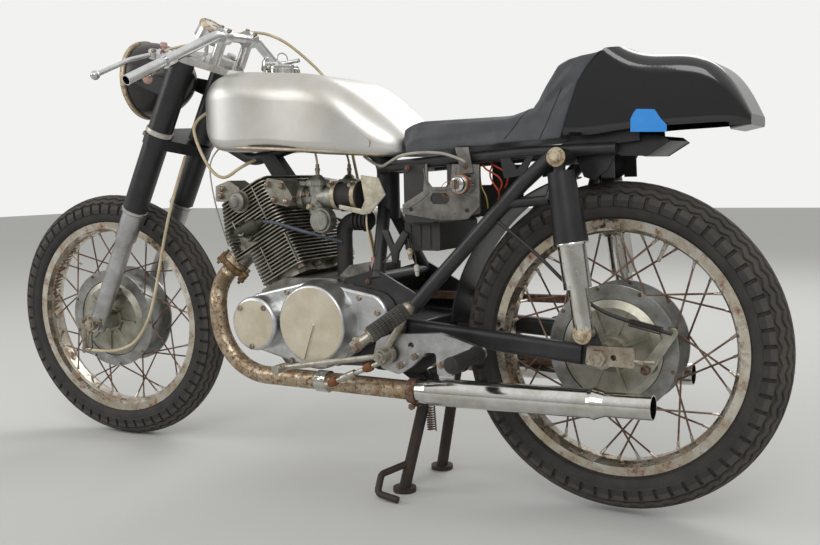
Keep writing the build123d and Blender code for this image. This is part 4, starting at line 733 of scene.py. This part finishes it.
# Carburettors: die-cast, each with a knurled cap over the throttle slide, a cable ferrule, two
# flange nuts, an idle screw and a bowl cover held by two screws.
knurl_steps = 48
cap_ring = turned([(24.1, 0), (25.2, 0.8), (25.2, 11.2), (24.1, 12)], steps=knurl_steps)
inset_faces(cap_ring, lambda middle: step_round(middle, knurl_steps) % 2 == 0 and 0.002 < middle.z < 0.010,
            0.0006, -0.0009)
fasten(cap_ring, "carburettor_cap_rings", carb_alloy, [
    Matrix.Translation(spot(-638, side * 62, 631)) for side in sides
])
turned_piece("throttle_cable_ferrules", bolt_steel, [
    (0, 0), (4.6, 0), (4.6, 9), (5.6, 10), (5.6, 15), (4.2, 16), (4.2, 24), (0, 24)
], 16, [Matrix.Translation(spot(-638, side * 62, 653)) for side in sides])
carb_places = [(-611, 92, 578), (-611, 92, 540), (-594, 87, 566), (-650, 82.5, 612), (-628, 82.5, 596)]
turned_piece("carburettor_screws", bolt_steel, [
    (0, 0), (3.6, 0), (3.6, 2.2), (3.0, 3.0), (0.9, 3.0), (0.9, 1.8), (0, 1.8)
], 10, both(carb_places, (0, 1, 0)))
fasten(hex_bolt(10.0, 7.0, 4.0), "carburettor_flange_nuts", bolt_steel, [
    at(-664, side * 62 + step, 606 + rise, (1, 0, 0)) for side in sides for step, rise in ((-21, 8), (21, -8))
])
turned_piece("idle_screws", ring_plating, [
    (2.2, -10), (2.2, 0), (6.0, 0.6), (6.0, 6.5), (5.2, 7.4), (0, 7.4)
], 14, both([(-641, 88, 586)], (-0.5, 1, 0.3)))
turned_piece("bowl_drain_plugs", bolt_steel, [
    (8, -2), (8, 2), (6.5, 2.4), (6.5, 8), (5.5, 9), (0, 9)
], 6, both([(-611, 84, 534)], (0, 0, -1)))

# Rubber: intake hoses drawn up by plated bands, and footrest sleeves.
hose_rubber = weathered("dull_black_rubber", "#202020", "#2e2c2a", metallic=0.0, roughness=0.66)
band_plating = weathered("yellowed_band_plating", "#c9bfa6", "#a8987a", "#7c5a3c", rust_mm=8,
                         rust_from=0.62, metallic=0.4, roughness=0.42)
dress("intake_hoses", hose_rubber)
dress("footrest_rubbers", hose_rubber)
turned_piece("hose_bands", band_plating, [
    (29.2, 0), (30.6, 0.4), (30.8, 5), (30.6, 9.6), (29.2, 10)
], 36, both([(-590, 62, 610), (-541, 62, 610)], (1, 0, 0)))
turned_piece("hose_band_screws", bolt_steel, [
    (0, 0), (4.5, 0), (4.5, 4), (3.6, 4.5), (3.6, 15), (5.2, 15.5), (5.2, 18), (0, 18)
], 10, [at(x, side * 90 - 9, 632, (0, 1, 0.25)) for side in sides for x in (-585, -536)])


def pressed(outline, thickness, bend=1.0):
    """A plate cut to a side outline in mm of x and z, given its wall to the left, its edges eased."""
    bpy.ops.object.select_all(action="DESELECT")
    bpy.ops.mesh.primitive_circle_add(vertices=len(outline), radius=1.0, fill_type="NGON")
    plate = bpy.context.object
    for point, (x, z) in zip(plate.data.vertices, outline):
        point.co = spot(x, 0, z)
    bpy.ops.object.mode_set(mode="EDIT")
    bpy.ops.mesh.select_all(action="SELECT")
    bpy.ops.mesh.extrude_region_move(TRANSFORM_OT_translate={"value": (0, -thickness / 1000, 0)})
    bpy.ops.mesh.select_all(action="SELECT")
    bpy.ops.mesh.normals_make_consistent(inside=False)
    bpy.ops.mesh.bevel(offset=bend / 1000, segments=2, clamp_overlap=True)
    bpy.ops.object.mode_set(mode="OBJECT")
    return plate


def at_side(y):
    """A plate's place across the machine, in mm from the middle."""
    return Matrix.Translation((0, y / 1000, 0))


def plate(name, finish, outline, thickness, bend, y, pair=False):
    """A pressed plate fixed to the frame at a place across it, or one on each side."""
    places = [mirrored @ at_side(y) for mirrored in both_ways[:2 if pair else 1]]
    return fasten(pressed(outline, thickness, bend), name, finish, places)


cream_casting = weathered("yellowed_pale_casting", "#c8c2b0", "#a59d88", "#6c5f4a", stain_mm=14, rust_mm=9,
                          rust_from=0.66, metallic=0.3, roughness=0.5)
plate("hose_end_bracket", cream_casting, [
    (-512, 652), (-469, 646), (-453, 611), (-490, 574), (-508, 571), (-566, 583), (-566, 592),
    (-511, 583), (-503, 600)
], 5.0, 1.6, -88)

# Exhaust: plated headers browned by heat and rust, held at the head by rusty clamps, and
# bright chrome mufflers drawn on by split clamps.
header_steel = weathered("heat_browned_plating", "#c4b79f", "#94795a", "#66442d", stain_mm=26, rust_mm=8,
                         rust_from=0.55, metallic=0.8, roughness=0.36)
muffler_chrome = weathered("bright_muffler_chrome", "#dadad9", "#c3bfb6", "#86705a", rust_mm=9,
                           rust_from=0.74, roughness=0.11)
port_rust = weathered("flaking_clamp_rust", "#9a8159", "#70563a", "#573a24", rust_mm=6, rust_from=0.5,
                      metallic=0.2, roughness=0.75, grain_high_mm=0.3)
dress("exhaust_pipes", header_steel)
dress("mufflers", muffler_chrome)
port_way = Vector((-30, -20, -39)).normalized()
near_port = spot(-850, -76, 467) + port_way * 0.0125
turned_piece("port_clamps", port_rust, [
    (19.6, 0), (29, 0), (33.5, 1.5), (33.5, 9), (29, 12), (23, 16), (19.6, 16)
], 28, [mirrored @ aimed(near_port, port_way) for mirrored in both_ways])
across_port = port_way.cross(Vector((0, 1, 0))).normalized()
turned_piece("port_studs", port_rust, [
    (0, -26), (3.4, -26), (3.4, 0), (8, 0), (8, 7), (6.5, 8), (3.4, 8), (3.4, 14), (0, 14)
], 6, [
    mirrored @ aimed(near_port + port_way * 0.012 + across_port * reach, port_way) for mirrored in both_ways
    for reach in (-0.036, 0.036)
])
turned_piece("port_clamp_ears", port_rust, [(0, -8), (9, -8), (9, 5), (7, 8), (0, 8)], 12, [
    mirrored @ aimed(near_port + port_way * 0.004 + across_port * reach, port_way)
    for mirrored in both_ways for reach in (-0.034, 0.034)
])
turned_piece("pipe_joint_collars", shock_chrome, [
    (19.2, 0), (22.4, 0.6), (22.4, 9), (21.4, 11), (22.4, 13), (22.4, 27.4), (19.2, 28)
], 32, both([(-588, 150, 231)], (1, 0, 0)))
turned_piece("muffler_clamps", rusty_steel, [
    (22.2, 0), (24.8, 0.5), (24.8, 17.5), (22.2, 18)
], 32, both([(-371, 150, 231)], (1, 0, 0)))
turned_piece("muffler_clamp_bolts", rusty_steel, [
    (0, 0), (7, 0), (7, 5), (4, 5.5), (4, 26), (7, 26.5), (7, 31), (0, 31)
], 6, [at(-362, side * 150 - 15, 202, (0, 1, 0)) for side in sides])

# Chain: steel links, brown with old oil and rust, from the gearbox to the rear sprocket.
dress("drive_chain", rusty_steel)

# Tank: aluminium sheet, planished, welded and left bare, rubbed down to an even satin.
# A folded seam runs along each lower edge, and a weld's scar marks the near side at the rear.
tank_alloy = weathered("satin_tank_alloy", "#d6d5d2", "#c6c2ba", stain_mm=160, roughness=0.4, uneven=0.01,
                       grain_mm=30.0, grain_high_mm=0.0)
dress("fuel_tank", tank_alloy)
seam_alloy = weathered("browned_seam_alloy", "#cfc5b3", "#a89880", "#6b563f", stain_mm=30, rust_mm=10,
                       rust_from=0.68, metallic=0.9, roughness=0.36)
# The thin dark bar just above each seam is painted shadow in the gap over the seam's lip.
painted_seam_shade = weathered("painted_shadow_along_seam", "#5a5048", "#40382f", metallic=0.2, roughness=0.7)
seam_table = [
    # x, half width, height, of the seam's line
    (-905, 84, 751), (-885, 108, 728), (-862, 121, 720), (-800, 126, 716), (-700, 126, 710),
    (-600, 126, 704), (-540, 123, 699.5), (-480, 111, 694.5), (-446, 100, 692.5), (-424, 84, 694),
]
for name, side in side_names:
    fasten(drawn_bar([(x, side * half, z) for x, half, z in seam_table], 8.0), f"{name}_tank_seam",
           seam_alloy)
    fasten(drawn_bar([(x, side * (half + 1.2), z + 5.6) for x, half, z in seam_table], 3.4),
           f"{name}_seam_shadow", painted_seam_shade)
scar = drawn_bar([(-478, -116.5, 728), (-474, -117.5, 722), (-470, -117, 716), (-474, -117.5, 708)], 3.2)
fasten(scar, "tank_weld_scar", seam_alloy)

# Filler cap: plated, with a knurled neck ring, a domed flip lid on a hinge block, a cam lever
# that snaps it shut and a wire ring to pull it by.
cap_chrome = weathered("bright_cap_chrome", "#d8d8d8", "#b0ada7", roughness=0.13)
neck_place = Matrix.Translation(spot(-765, 0, 872))
neck_steps = 72
neck = turned([(39, 0), (40, 2), (40, 5), (37, 6), (36.5, 16), (35, 17.5), (30, 17.5)], steps=neck_steps)
inset_faces(neck, lambda middle: step_round(middle, neck_steps) % 3 == 0 and 0.006 < middle.z < 0.016,
            0.0004, -0.0024)
fasten(neck, "filler_neck_ring", cap_chrome, [neck_place])
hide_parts("filler_cap")
turned_piece("filler_lid", cap_chrome, [
    (33, 17), (34, 18), (34, 22), (31.5, 24.5), (24, 26.5), (12, 28), (0, 28.5)
], 48, [neck_place])
hinge_outline = [(-812, 868), (-812, 884), (-806, 898), (-796, 901), (-784, 897), (-780, 886), (-790, 872)]
plate("filler_hinge_block", cap_chrome, hinge_outline, 22.0, 2.0, 11)
fasten(drawn_bar([(-803, -19, 893), (-803, 19, 893)], 8.0, 5), "filler_hinge_pin", bolt_steel)
lever = drawn_bar([(-812, 0, 907), (-796, 0, 905), (-770, 0, 903), (-745, 0, 904), (-722, 0, 906)], 9.0, 5)
fasten(lever, "filler_cam_lever", cap_chrome)
wing_outline = [(-826, 893), (-822, 912), (-812, 922), (-806, 918), (-812, 906), (-806, 898), (-818, 884)]
plate("filler_cam_wing", cap_chrome, wing_outline, 7.0, 1.6, 3.5)
bpy.ops.object.select_all(action="DESELECT")
bpy.ops.mesh.primitive_torus_add(major_radius=0.0125, minor_radius=0.0016, major_segments=36,
                                 minor_segments=8)
pull_ring = bpy.context.object
fasten(pull_ring, "filler_pull_ring", cap_chrome, [
    Matrix.Translation(spot(-768, 0, 913)) @ Matrix.Rotation(radians(62), 4, "Z")
    @ Matrix.Rotation(radians(90), 4, "X")
])

# Seat: black vinyl glued to its base and pulled over foam that swells a little between the
# edges, with a bump stop in front of the cowl.
seat_vinyl = weathered("grained_seat_vinyl", "#3c3d41", "#4b4c50", metallic=0.0, roughness=0.48, grain_mm=1.8,
                       grain_high_mm=0.3)
base_top, cowl_start = 0.712, 0.60      # metres: below and behind these the cover is glued down
voxel, slimmer = 0.005, 0.003
seat = bpy.data.objects.new("padded_seat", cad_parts["seat_pad"].data.copy())
bpy.context.collection.objects.link(seat)
bpy.ops.object.select_all(action="DESELECT")
seat.select_set(True)
bpy.context.view_layer.objects.active = seat
bpy.ops.object.mode_set(mode="EDIT")
bpy.ops.mesh.select_mode(type="VERT")
bpy.ops.mesh.select_all(action="SELECT")
bpy.ops.mesh.remove_doubles(threshold=0.00001)
bpy.ops.object.mode_set(mode="OBJECT")
remesh = seat.modifiers.new("foam", "REMESH")
remesh.mode = "VOXEL"
remesh.voxel_size = voxel
bpy.ops.object.modifier_apply(modifier="foam")
bpy.ops.object.mode_set(mode="EDIT")
bpy.ops.mesh.select_all(action="SELECT")
bpy.ops.transform.shrink_fatten(value=-slimmer)
bpy.ops.mesh.vertices_smooth(factor=0.5, repeat=2)
bpy.ops.object.mode_set(mode="OBJECT")
glued = seat.vertex_groups.new(name="glued")
held = [point.index for point in seat.data.vertices if point.co.z < base_top or point.co.x > cowl_start]
glued.add(held, 1.0, "REPLACE")
flat = [point.co.copy() for point in seat.data.vertices]
stuffing = seat.modifiers.new("stuffing", "CLOTH")
stuffing.settings.quality = 5
stuffing.settings.use_pressure = True
stuffing.settings.uniform_pressure_force = 4.0
stuffing.settings.vertex_group_mass = "glued"
stuffing.settings.effector_weights.gravity = 0.0
stuffing.settings.tension_stiffness = 20.0
stuffing.settings.compression_stiffness = 20.0
for step in range(1, 21):
    bpy.context.scene.frame_set(step)
bpy.ops.object.modifier_apply(modifier="stuffing")
swell_cap = 0.006
for point, start in zip(seat.data.vertices, flat):
    swell = point.co - start
    if swell.length > swell_cap:
        point.co = start + swell * (swell_cap / swell.length)
bpy.context.scene.frame_set(1)
rounding = seat.modifiers.new("rounding", "SUBSURF")
rounding.levels = rounding.render_levels = 1
bpy.ops.object.modifier_apply(modifier="rounding")
seat.data.materials.clear()
seat.data.materials.append(seat_vinyl)
bpy.ops.object.shade_smooth()
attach(seat, "chassis")
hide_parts("seat_pad")


# Seat seams: two pulled-down stitched lines on each side, at the foot of the bump stop and at
# the cowl.
def on_surface(target, start, way, lift=0.0):
    """Where a ray meets a piece, raised a little from its surface."""
    hit, place, normal, _ = target.ray_cast(start, way)
    return place + normal * lift if hit else None


def laid_line(name, target, start_end, way, diameter, material, lift, samples=25):
    """A stitched line: points are dropped on a piece along a way and joined by a thin bar."""
    start, end = start_end
    dropped = [on_surface(target, start.lerp(end, number / (samples - 1)), way, lift)
               for number in range(samples)]
    found = [place for place in dropped if place]
    return fasten(as_mesh(curve_through(name, found, diameter, kind="POLY", round_steps=2)), name, material)


seam_thread = weathered("dark_seam_vinyl", "#17181a", "#1f2022", metallic=0.0, roughness=0.6)
seam_runs = [
    # name, from, to, in x and z of the side
    ("hump_seam", (-186, 712), (-142, 765)),
    ("cowl_seam", (-118, 706), (-74, 800)),
]
for name, low, high in seam_runs:
    for label, side in side_names:
        run = (spot(low[0], side * 300, low[1]), spot(high[0], side * 300, high[1]))
        laid_line(f"{label}_{name}", seat, run, Vector((0, -side, 0)), 2.0, seam_thread, -0.0002)

# Tail cowl: a glossy black moulding with a strip of blue masking tape left on its near side.
tail_gloss = weathered("gloss_black_moulding", "#0b0b0d", "#101013", metallic=0.0, roughness=0.14,
                       uneven=0.03, coat=0.6)
dress("tail_cowl", tail_gloss)
masking_tape = weathered("blue_masking_tape", "#2f8fe0", "#2a83d2", metallic=0.0, roughness=0.55,
                         grain_mm=1.2, grain_high_mm=0.1)
bpy.ops.object.select_all(action="DESELECT")
bpy.ops.mesh.primitive_grid_add(x_subdivisions=12, y_subdivisions=6, size=1.0)
tape = bpy.context.object
tape_start, tape_length, tape_foot, tape_wall = 52.0, 61.0, 716.0, 0.0004
cowl_side_foot = 739.0
tape_edge = [
    # share of the length, height in mm
    (0.0, 22.0), (0.13, 39.0), (0.66, 38.0), (0.85, 21.0), (1.0, 12.0),
]
for point in tape.data.vertices:
    along, up = point.co.x + 0.5, point.co.y + 0.5
    before, after = [pair for pair in zip(tape_edge, tape_edge[1:])
                     if pair[0][0] <= along <= pair[1][0] + 1e-6][0]
    tall = before[1] + (after[1] - before[1]) * (along - before[0]) / (after[0] - before[0])
    x, z = tape_start + tape_length * along, tape_foot - 2 * along + tall * up
    outside = spot(x, -400, max(z, cowl_side_foot))
    stuck = on_surface(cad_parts["tail_cowl"], outside, Vector((0, 1, 0)), 0.0006)
    point.co = (stuck.x, stuck.y, spot(x, 0, z).z)
skin = tape.modifiers.new("skin", "SOLIDIFY")
skin.thickness = tape_wall
skin.offset = 1.0
bpy.ops.object.modifier_apply(modifier="skin")
fasten(tape, "masking_tape_patch", masking_tape)

# Tail tray: black pressed steel under the cowl, two flanged cheeks and a floor between them,
# with a gusset at each side over the rear mudguard's strap.
tray_plates = [
    # name, wall, eased edge, y, one on each side, outline
    ("tail_tray_cheeks", 2.4, 0.8, -72.4, True,
     [(-46, 705), (-10, 690), (8, 684), (26, 676), (72, 675), (111, 699), (98, 709), (54, 714), (0, 709)]),
    ("tail_tray_floor", 134.0, 0.6, 67, False,
     [(-10, 690), (8, 684), (26, 677), (72, 676), (110, 700), (109, 702), (71, 679), (26, 680), (9, 687)]),
    ("cowl_mount_cheeks", 2.4, 0.8, -86, True,
     [(-100, 692), (-74, 703), (-60, 722), (60, 728), (62, 702), (0, 696)]),
    ("tail_gussets", 2.4, 0.8, -72.4, True, [(-66, 690), (17, 686), (0, 652), (-26, 634), (-44, 640)]),
]
for name, wall, bend, y, pair, outline in tray_plates:
    plate(name, frame_enamel, outline, wall, bend, y, pair)

# Bracket plates and battery box: faded grey pressings bolted to the seat rails, slotted and
# beaded, with the ignition switch on the near one and the wiring's loose ends behind them.
tray_paint = weathered("faded_grey_pressing", "#7f7c77", "#5b5853", "#54463b", stain_mm=25, rust_from=0.66,
                       metallic=0.35, roughness=0.46)
dark_plastic_and_slot_shade = weathered("black_plastic_and_painted_slot_shade", "#232323", "#34322f", metallic=0.0, roughness=0.6)
# The battery tray is dressed all dark as painted shade behind the face plates' slots; the black wires and the
# junction boot share this finish.
dress("battery_tray", dark_plastic_and_slot_shade)
tray_outline = [(-352, 671), (-358, 618), (-405, 592), (-405, 574), (-318, 561), (-262, 564), (-237, 588),
                (-237, 667)]
tray_slots = [
    [(-350, 690), (-346, 636), (-338, 626), (-304, 626), (-297, 636), (-292, 690)],
    [(-342, 600), (-336, 593), (-307, 593), (-301, 600), (-301, 607), (-307, 614), (-336, 614), (-342, 607)],
    [(-390, 580), (-384, 578), (-379, 582), (-383, 587), (-389, 586)],
    [(-268, 578), (-262, 576), (-257, 580), (-261, 585), (-267, 584)],
]
face_plate = pressed(tray_outline, 1.6, 0.5)
for outline in tray_slots:
    cutter = pressed(outline, 12.0, 0.2)
    cutter.data.transform(Matrix.Translation((0, 0.005, 0)))
    slot = face_plate.modifiers.new("slot", "BOOLEAN")
    slot.object = cutter
    bpy.context.view_layer.objects.active = face_plate
    bpy.ops.object.modifier_apply(modifier="slot")
    bpy.data.objects.remove(cutter)
near_face = at_side(-106.4)
fasten(face_plate, "tray_face_plates", tray_paint, [mirrored @ near_face for mirrored in both_ways])
bead_runs = [
    [(-356, -108, 662), (-352, -108, 634), (-342, -108, 620), (-300, -108, 620), (-290, -108, 634),
     (-285, -108, 662)],
    [(-396, -108, 584), (-350, -108, 606), (-346, -108, 617)],
    [(-296, -108, 616), (-256, -108, 608), (-246, -108, 600)],
]
for number, bead in enumerate(bead_runs):
    fasten(drawn_bar(bead, 3.0), f"tray_bead_{number + 1}", tray_paint)
dress("ignition_switch", cap_chrome)
copper = weathered("bare_copper_ring", "#b9744e", "#935433", metallic=0.9, roughness=0.35)
turned_piece("switch_copper_ring", copper, [
    (14.5, 0), (18.5, 0.4), (19.6, 2.4), (18.5, 5), (14.5, 5.4)
], 32, [at(-260, -141, 631, (0, -1, 0))])
turned_piece("switch_face", cap_chrome, [
    (0, 9), (11, 9), (13.6, 7.6), (14.8, 4), (15.2, 0), (17.4, -0.2)
], 32, [at(-260, -149.5, 631, (0, -1, 0))])
plate("ignition_key", bolt_steel, [(-263, 622), (-263, 640), (-257, 640), (-257, 622)], 22.0, 1.0, -152)
bpy.ops.object.select_all(action="DESELECT")
bpy.ops.mesh.primitive_torus_add(major_radius=0.015, minor_radius=0.0007, major_segments=32, minor_segments=6)
fasten(bpy.context.object, "key_ring", copper, [
    Matrix.Translation(spot(-272, -168, 622)) @ Matrix.Rotation(radians(78), 4, "X")
])
plate("switch_hanger_strap", tray_paint, [(-284, 700), (-256, 700), (-246, 652), (-272, 650)], 3.0, 0.8, -112)
tray_bolt_places = both([(-388, 112, 664), (-262, 112, 664)], (0, 1, 0))
fasten(hex_bolt(10.0, 5.0, 3.0), "tray_bolts", rusty_steel, tray_bolt_places)
red_wire = weathered("faded_red_wire", "#c4492c", "#a63a22", metallic=0.0, roughness=0.5)
yellow_wire = weathered("aged_yellow_wire", "#b09a4e", "#8f7c3f", metallic=0.0, roughness=0.5)
beige_cover = weathered("yellowed_cable_cover", "#cfc2a4", "#b09f7e", "#86694a", stain_mm=60, rust_mm=18,
                        rust_from=0.7, metallic=0.0, roughness=0.42)
pale_wire = weathered("pale_grey_wire", "#a9a79e", "#8b887e", metallic=0.0, roughness=0.5)
wire_runs = [
    # name, diameter, cover, points
    ("red_loom_wire", 3.6, red_wire,
     [(-250, -70, 692), (-247, -78, 674), (-238, -84, 660), (-222, -86, 652), (-205, -84, 642),
      (-202, -78, 626), (-214, -72, 616)]),
    ("red_spade_wire", 3.6, red_wire,
     [(-240, -66, 690), (-232, -78, 672), (-216, -82, 664), (-198, -80, 654), (-192, -72, 638),
      (-204, -64, 622)]),
    ("red_switch_wire", 3.2, red_wire,
     [(-228, -60, 690), (-224, -74, 668), (-228, -84, 648), (-218, -86, 630), (-206, -80, 612),
      (-216, -70, 600)]),
    ("yellow_loom_wire", 3.0, yellow_wire,
     [(-258, -64, 690), (-246, -86, 648), (-240, -94, 624), (-228, -92, 604), (-232, -82, 584)]),
    ("seat_rail_loom", 6.0, pale_wire,
     [(-520, -62, 690), (-470, -84, 664), (-430, -112, 676), (-396, -122, 690), (-340, -124, 693),
      (-292, -122, 688), (-262, -112, 672)]),
    ("headlamp_loom", 7.0, beige_cover,
     [(-938, -60, 800), (-952, -96, 779), (-932, -110, 735), (-898, -112, 678), (-872, -110, 654),
      (-850, -104, 652), (-826, -86, 676), (-806, -60, 690)]),
    ("front_earth_wire", 3.4, pale_wire,
     [(-905, -50, 726), (-918, -84, 700), (-902, -100, 640), (-884, -98, 560), (-868, -88, 500)]),
    ("near_throttle_cable", 5.0, beige_cover,
     [(-638, -62, 676), (-640, -62, 694), (-652, -56, 716), (-676, -48, 732), (-712, -40, 742),
      (-760, -36, 750)]),
    ("far_throttle_cable", 5.0, beige_cover,
     [(-638, 62, 676), (-640, 62, 694), (-652, 56, 716), (-676, 48, 732), (-712, 40, 742), (-760, 36, 750)]),
    ("gearbox_switch_wire", 4.0, lead_rubber,
     [(-416, -80, 530), (-424, -92, 512), (-444, -96, 490), (-464, -90, 472), (-478, -72, 460)]),
]
for name, diameter, material, points in wire_runs:
    lay_wire(name, points, diameter, material)
bullet_runs = [
    ("brass_bullet", ring_plating, [(-416, -82, 532), (-404, -93, 526), (-397, -98, 514), (-395, -100, 502)]),
    ("white_bullet", pale_enamel, [(-408, -82, 526), (-392, -94, 508), (-383, -98, 488), (-380, -100, 470)]),
]
for name, finish, points in bullet_runs:
    bullet = turned([(0, -4), (3, -3), (5.5, 0), (5.5, 9), (4.2, 11), (4.2, 17), (2.5, 20), (0, 20)],
                    steps=14)
    fasten(bullet, name, finish, [at(*points[-1], (0.1, -0.05, -1))])
    lay_wire(f"{name}_wire", points, 3.0, dark_plastic_and_slot_shade)
plate("wire_junction_boot", dark_plastic_and_slot_shade, [
    (-462, 541), (-447, 541), (-434, 511), (-412, 541), (-399, 533), (-423, 495), (-426, 474),
    (-438, 474), (-442, 497)
], 10.0, 3.0, -88)
rusted_end = turned([(2.2, 0), (4.6, 2), (4.6, 16), (6.4, 18), (6.4, 26), (0, 28)], steps=12)
fasten(rusted_end, "breather_spring_end", faded_knob, [at(-486, -92, 486, (0.1, 0, -1))])
lay_wire("hanging_beige_lead", [(-506, -80, 572), (-502, -90, 548), (-492, -92, 520), (-486, -92, 488)],
         4.0, beige_cover)

# Cables: a spring-steel conduit in a yellowed cover for the clutch and the front brake, in
# black for the rear brake. The clutch's is made a mesh and fixed to no body.
black_cover = weathered("scuffed_black_cable_cover", "#232222", "#35312e", metallic=0.0, roughness=0.5)
control_cables = [
    # node, real length in metres, body, cover, points as they are in the part
    ("chassis_cables", 0.38, "chassis", black_cover,
     [(-195, -118, 560), (-131, -104, 508), (-68, -100, 446), (-18, -94, 404), (46, -93, 382),
      (121, -93, 366)]),
    ("front_brake_cable", 0.66, "steering", beige_cover,
     [(-1022, -47, 705), (-1041, -66, 628), (-1064, -74, 548), (-1079, -84, 466), (-1088, -97, 388),
      (-1110, -101, 320), (-1156, -100, 262), (-1216, -100, 238), (-1276, -98, 232), (-1338, -94.5, 231)]),
    ("clutch_cable", 1.05, "chassis", beige_cover,
     [(-941, -196, 912), (-1000, -126, 938), (-1022, -45, 956), (-984, 26, 976), (-906, 78, 997),
      (-835, 90, 973), (-775, 98, 926), (-730, 112, 880), (-708, 142, 822), (-692, 145, 750),
      (-676, 142, 682), (-658, 139, 614), (-637, 132, 548), (-618, 128, 480), (-604, 126, 421)]),
]
cable_diameter = 7.0
for node, length, body, cover, points in control_cables:
    run = curve_through(f"{node}_run", [spot(*point) for point in points], cable_diameter, round_steps=4,
                        along_steps=12)
    run.data.materials.append(cover)
    followed = None
    if node == "clutch_cable":
        run.data.bevel_depth = 0
        followed = [tuple(point.co) for point in bpy.data.meshes.new_from_object(run).vertices]
        run.data.bevel_depth = cable_diameter / 2000
        run = as_mesh(run)
        bpy.ops.object.shade_smooth()
    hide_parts(node)
    if followed:
        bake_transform(run)
    else:
        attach(run, body)

# Footrests: silvery cast brackets bolted to the frame plates, ribbed rubbers with flat ends.
dress("footrest_brackets", slider_alloy)
bracket_bolt_places = both([(-384, 164, 282), (-352, 164, 302), (-294, 164, 290)], (0, 1, 0))
fasten(hex_bolt(13.0, 7.0, 4.0), "footrest_bracket_bolts", bolt_steel, bracket_bolt_places)
rest_way = Vector((-9, -108, -5)).normalized()
turned_piece("footrest_end_caps", hose_rubber, [
    (14.6, -6), (15.4, -5), (15.4, 1), (14, 2.6), (9, 3), (8, 4.6), (0, 5)
], 24, [mirrored @ at(-224, -262, 313, rest_way) for mirrored in both_ways])

# Foot levers and kick starter: forged steel, silvered and rusting at the ends, on one shaft.
# The kick starter's pedal carries a rubber sleeve moulded in raised squares, and the gear
# lever's link has a rusty boot at each end.
forged_steel = weathered("silvered_forging", "#bdbab3", "#98917f", "#84613f", stain_mm=30, rust_mm=12,
                         rust_from=0.62, roughness=0.42)
dress("foot_levers", forged_steel)
dress("kick_starter", forged_steel)
pedal_start, pedal_end = spot(-354, -184, 398), spot(-421, -262, 337)
pedal_way = (pedal_end - pedal_start).normalized()
sleeve = turned([(13.9, 0)] + [(14.6, 4 + 8 * row) for row in range(11)] + [(13.9, 88)], steps=22)
inset_faces(sleeve, lambda middle: 0.004 < middle.z < 0.084, 0.0009, 0.0022)
pedal_rubber = weathered("grey_perished_rubber", "#5b5750", "#3c3935", metallic=0.0, roughness=0.75)
fasten(sleeve, "kick_pedal_sleeve", pedal_rubber, [
    aimed(pedal_start + pedal_way * 0.004, pedal_way)
], smooth=20)
turned_piece("kick_pedal_cap", bolt_steel, [
    (12.5, -4), (14.6, -3), (14.6, 4), (10.5, 5), (10.5, 12), (9, 13.5), (0, 14)
], 6, [aimed(pedal_end - pedal_way * 0.002, pedal_way)])
turned_piece("gear_shaft_nut", forged_steel, [
    (0, 0), (11.5, 0), (11.5, 6), (10, 7.5), (5, 7.5), (5, 10), (0, 10)
], 6, [at(-412, -196, 302, (0, -1, 0))])
link_rust = weathered("rusted_link_boot", "#8c5a35", "#6b4227", metallic=0.2, roughness=0.75, rust_mm=5)
link_way = Vector((-128, -3, -56)).normalized()
turned_piece("gear_link_boots", link_rust, [(5.2, 0), (8.6, 2), (9.4, 9), (8.0, 18), (5.2, 22)], 16, [
    at(-430, -193.6, 283, link_way), at(-512, -195.4, 247, link_way)
])
plate_bolt_places = both([(-488, 108, 436), (-392, 108, 384)], (0, 1, 0))
fasten(hex_bolt(10.0, 6.0, 3.0), "frame_plate_bolts", rusty_steel, plate_bolt_places)
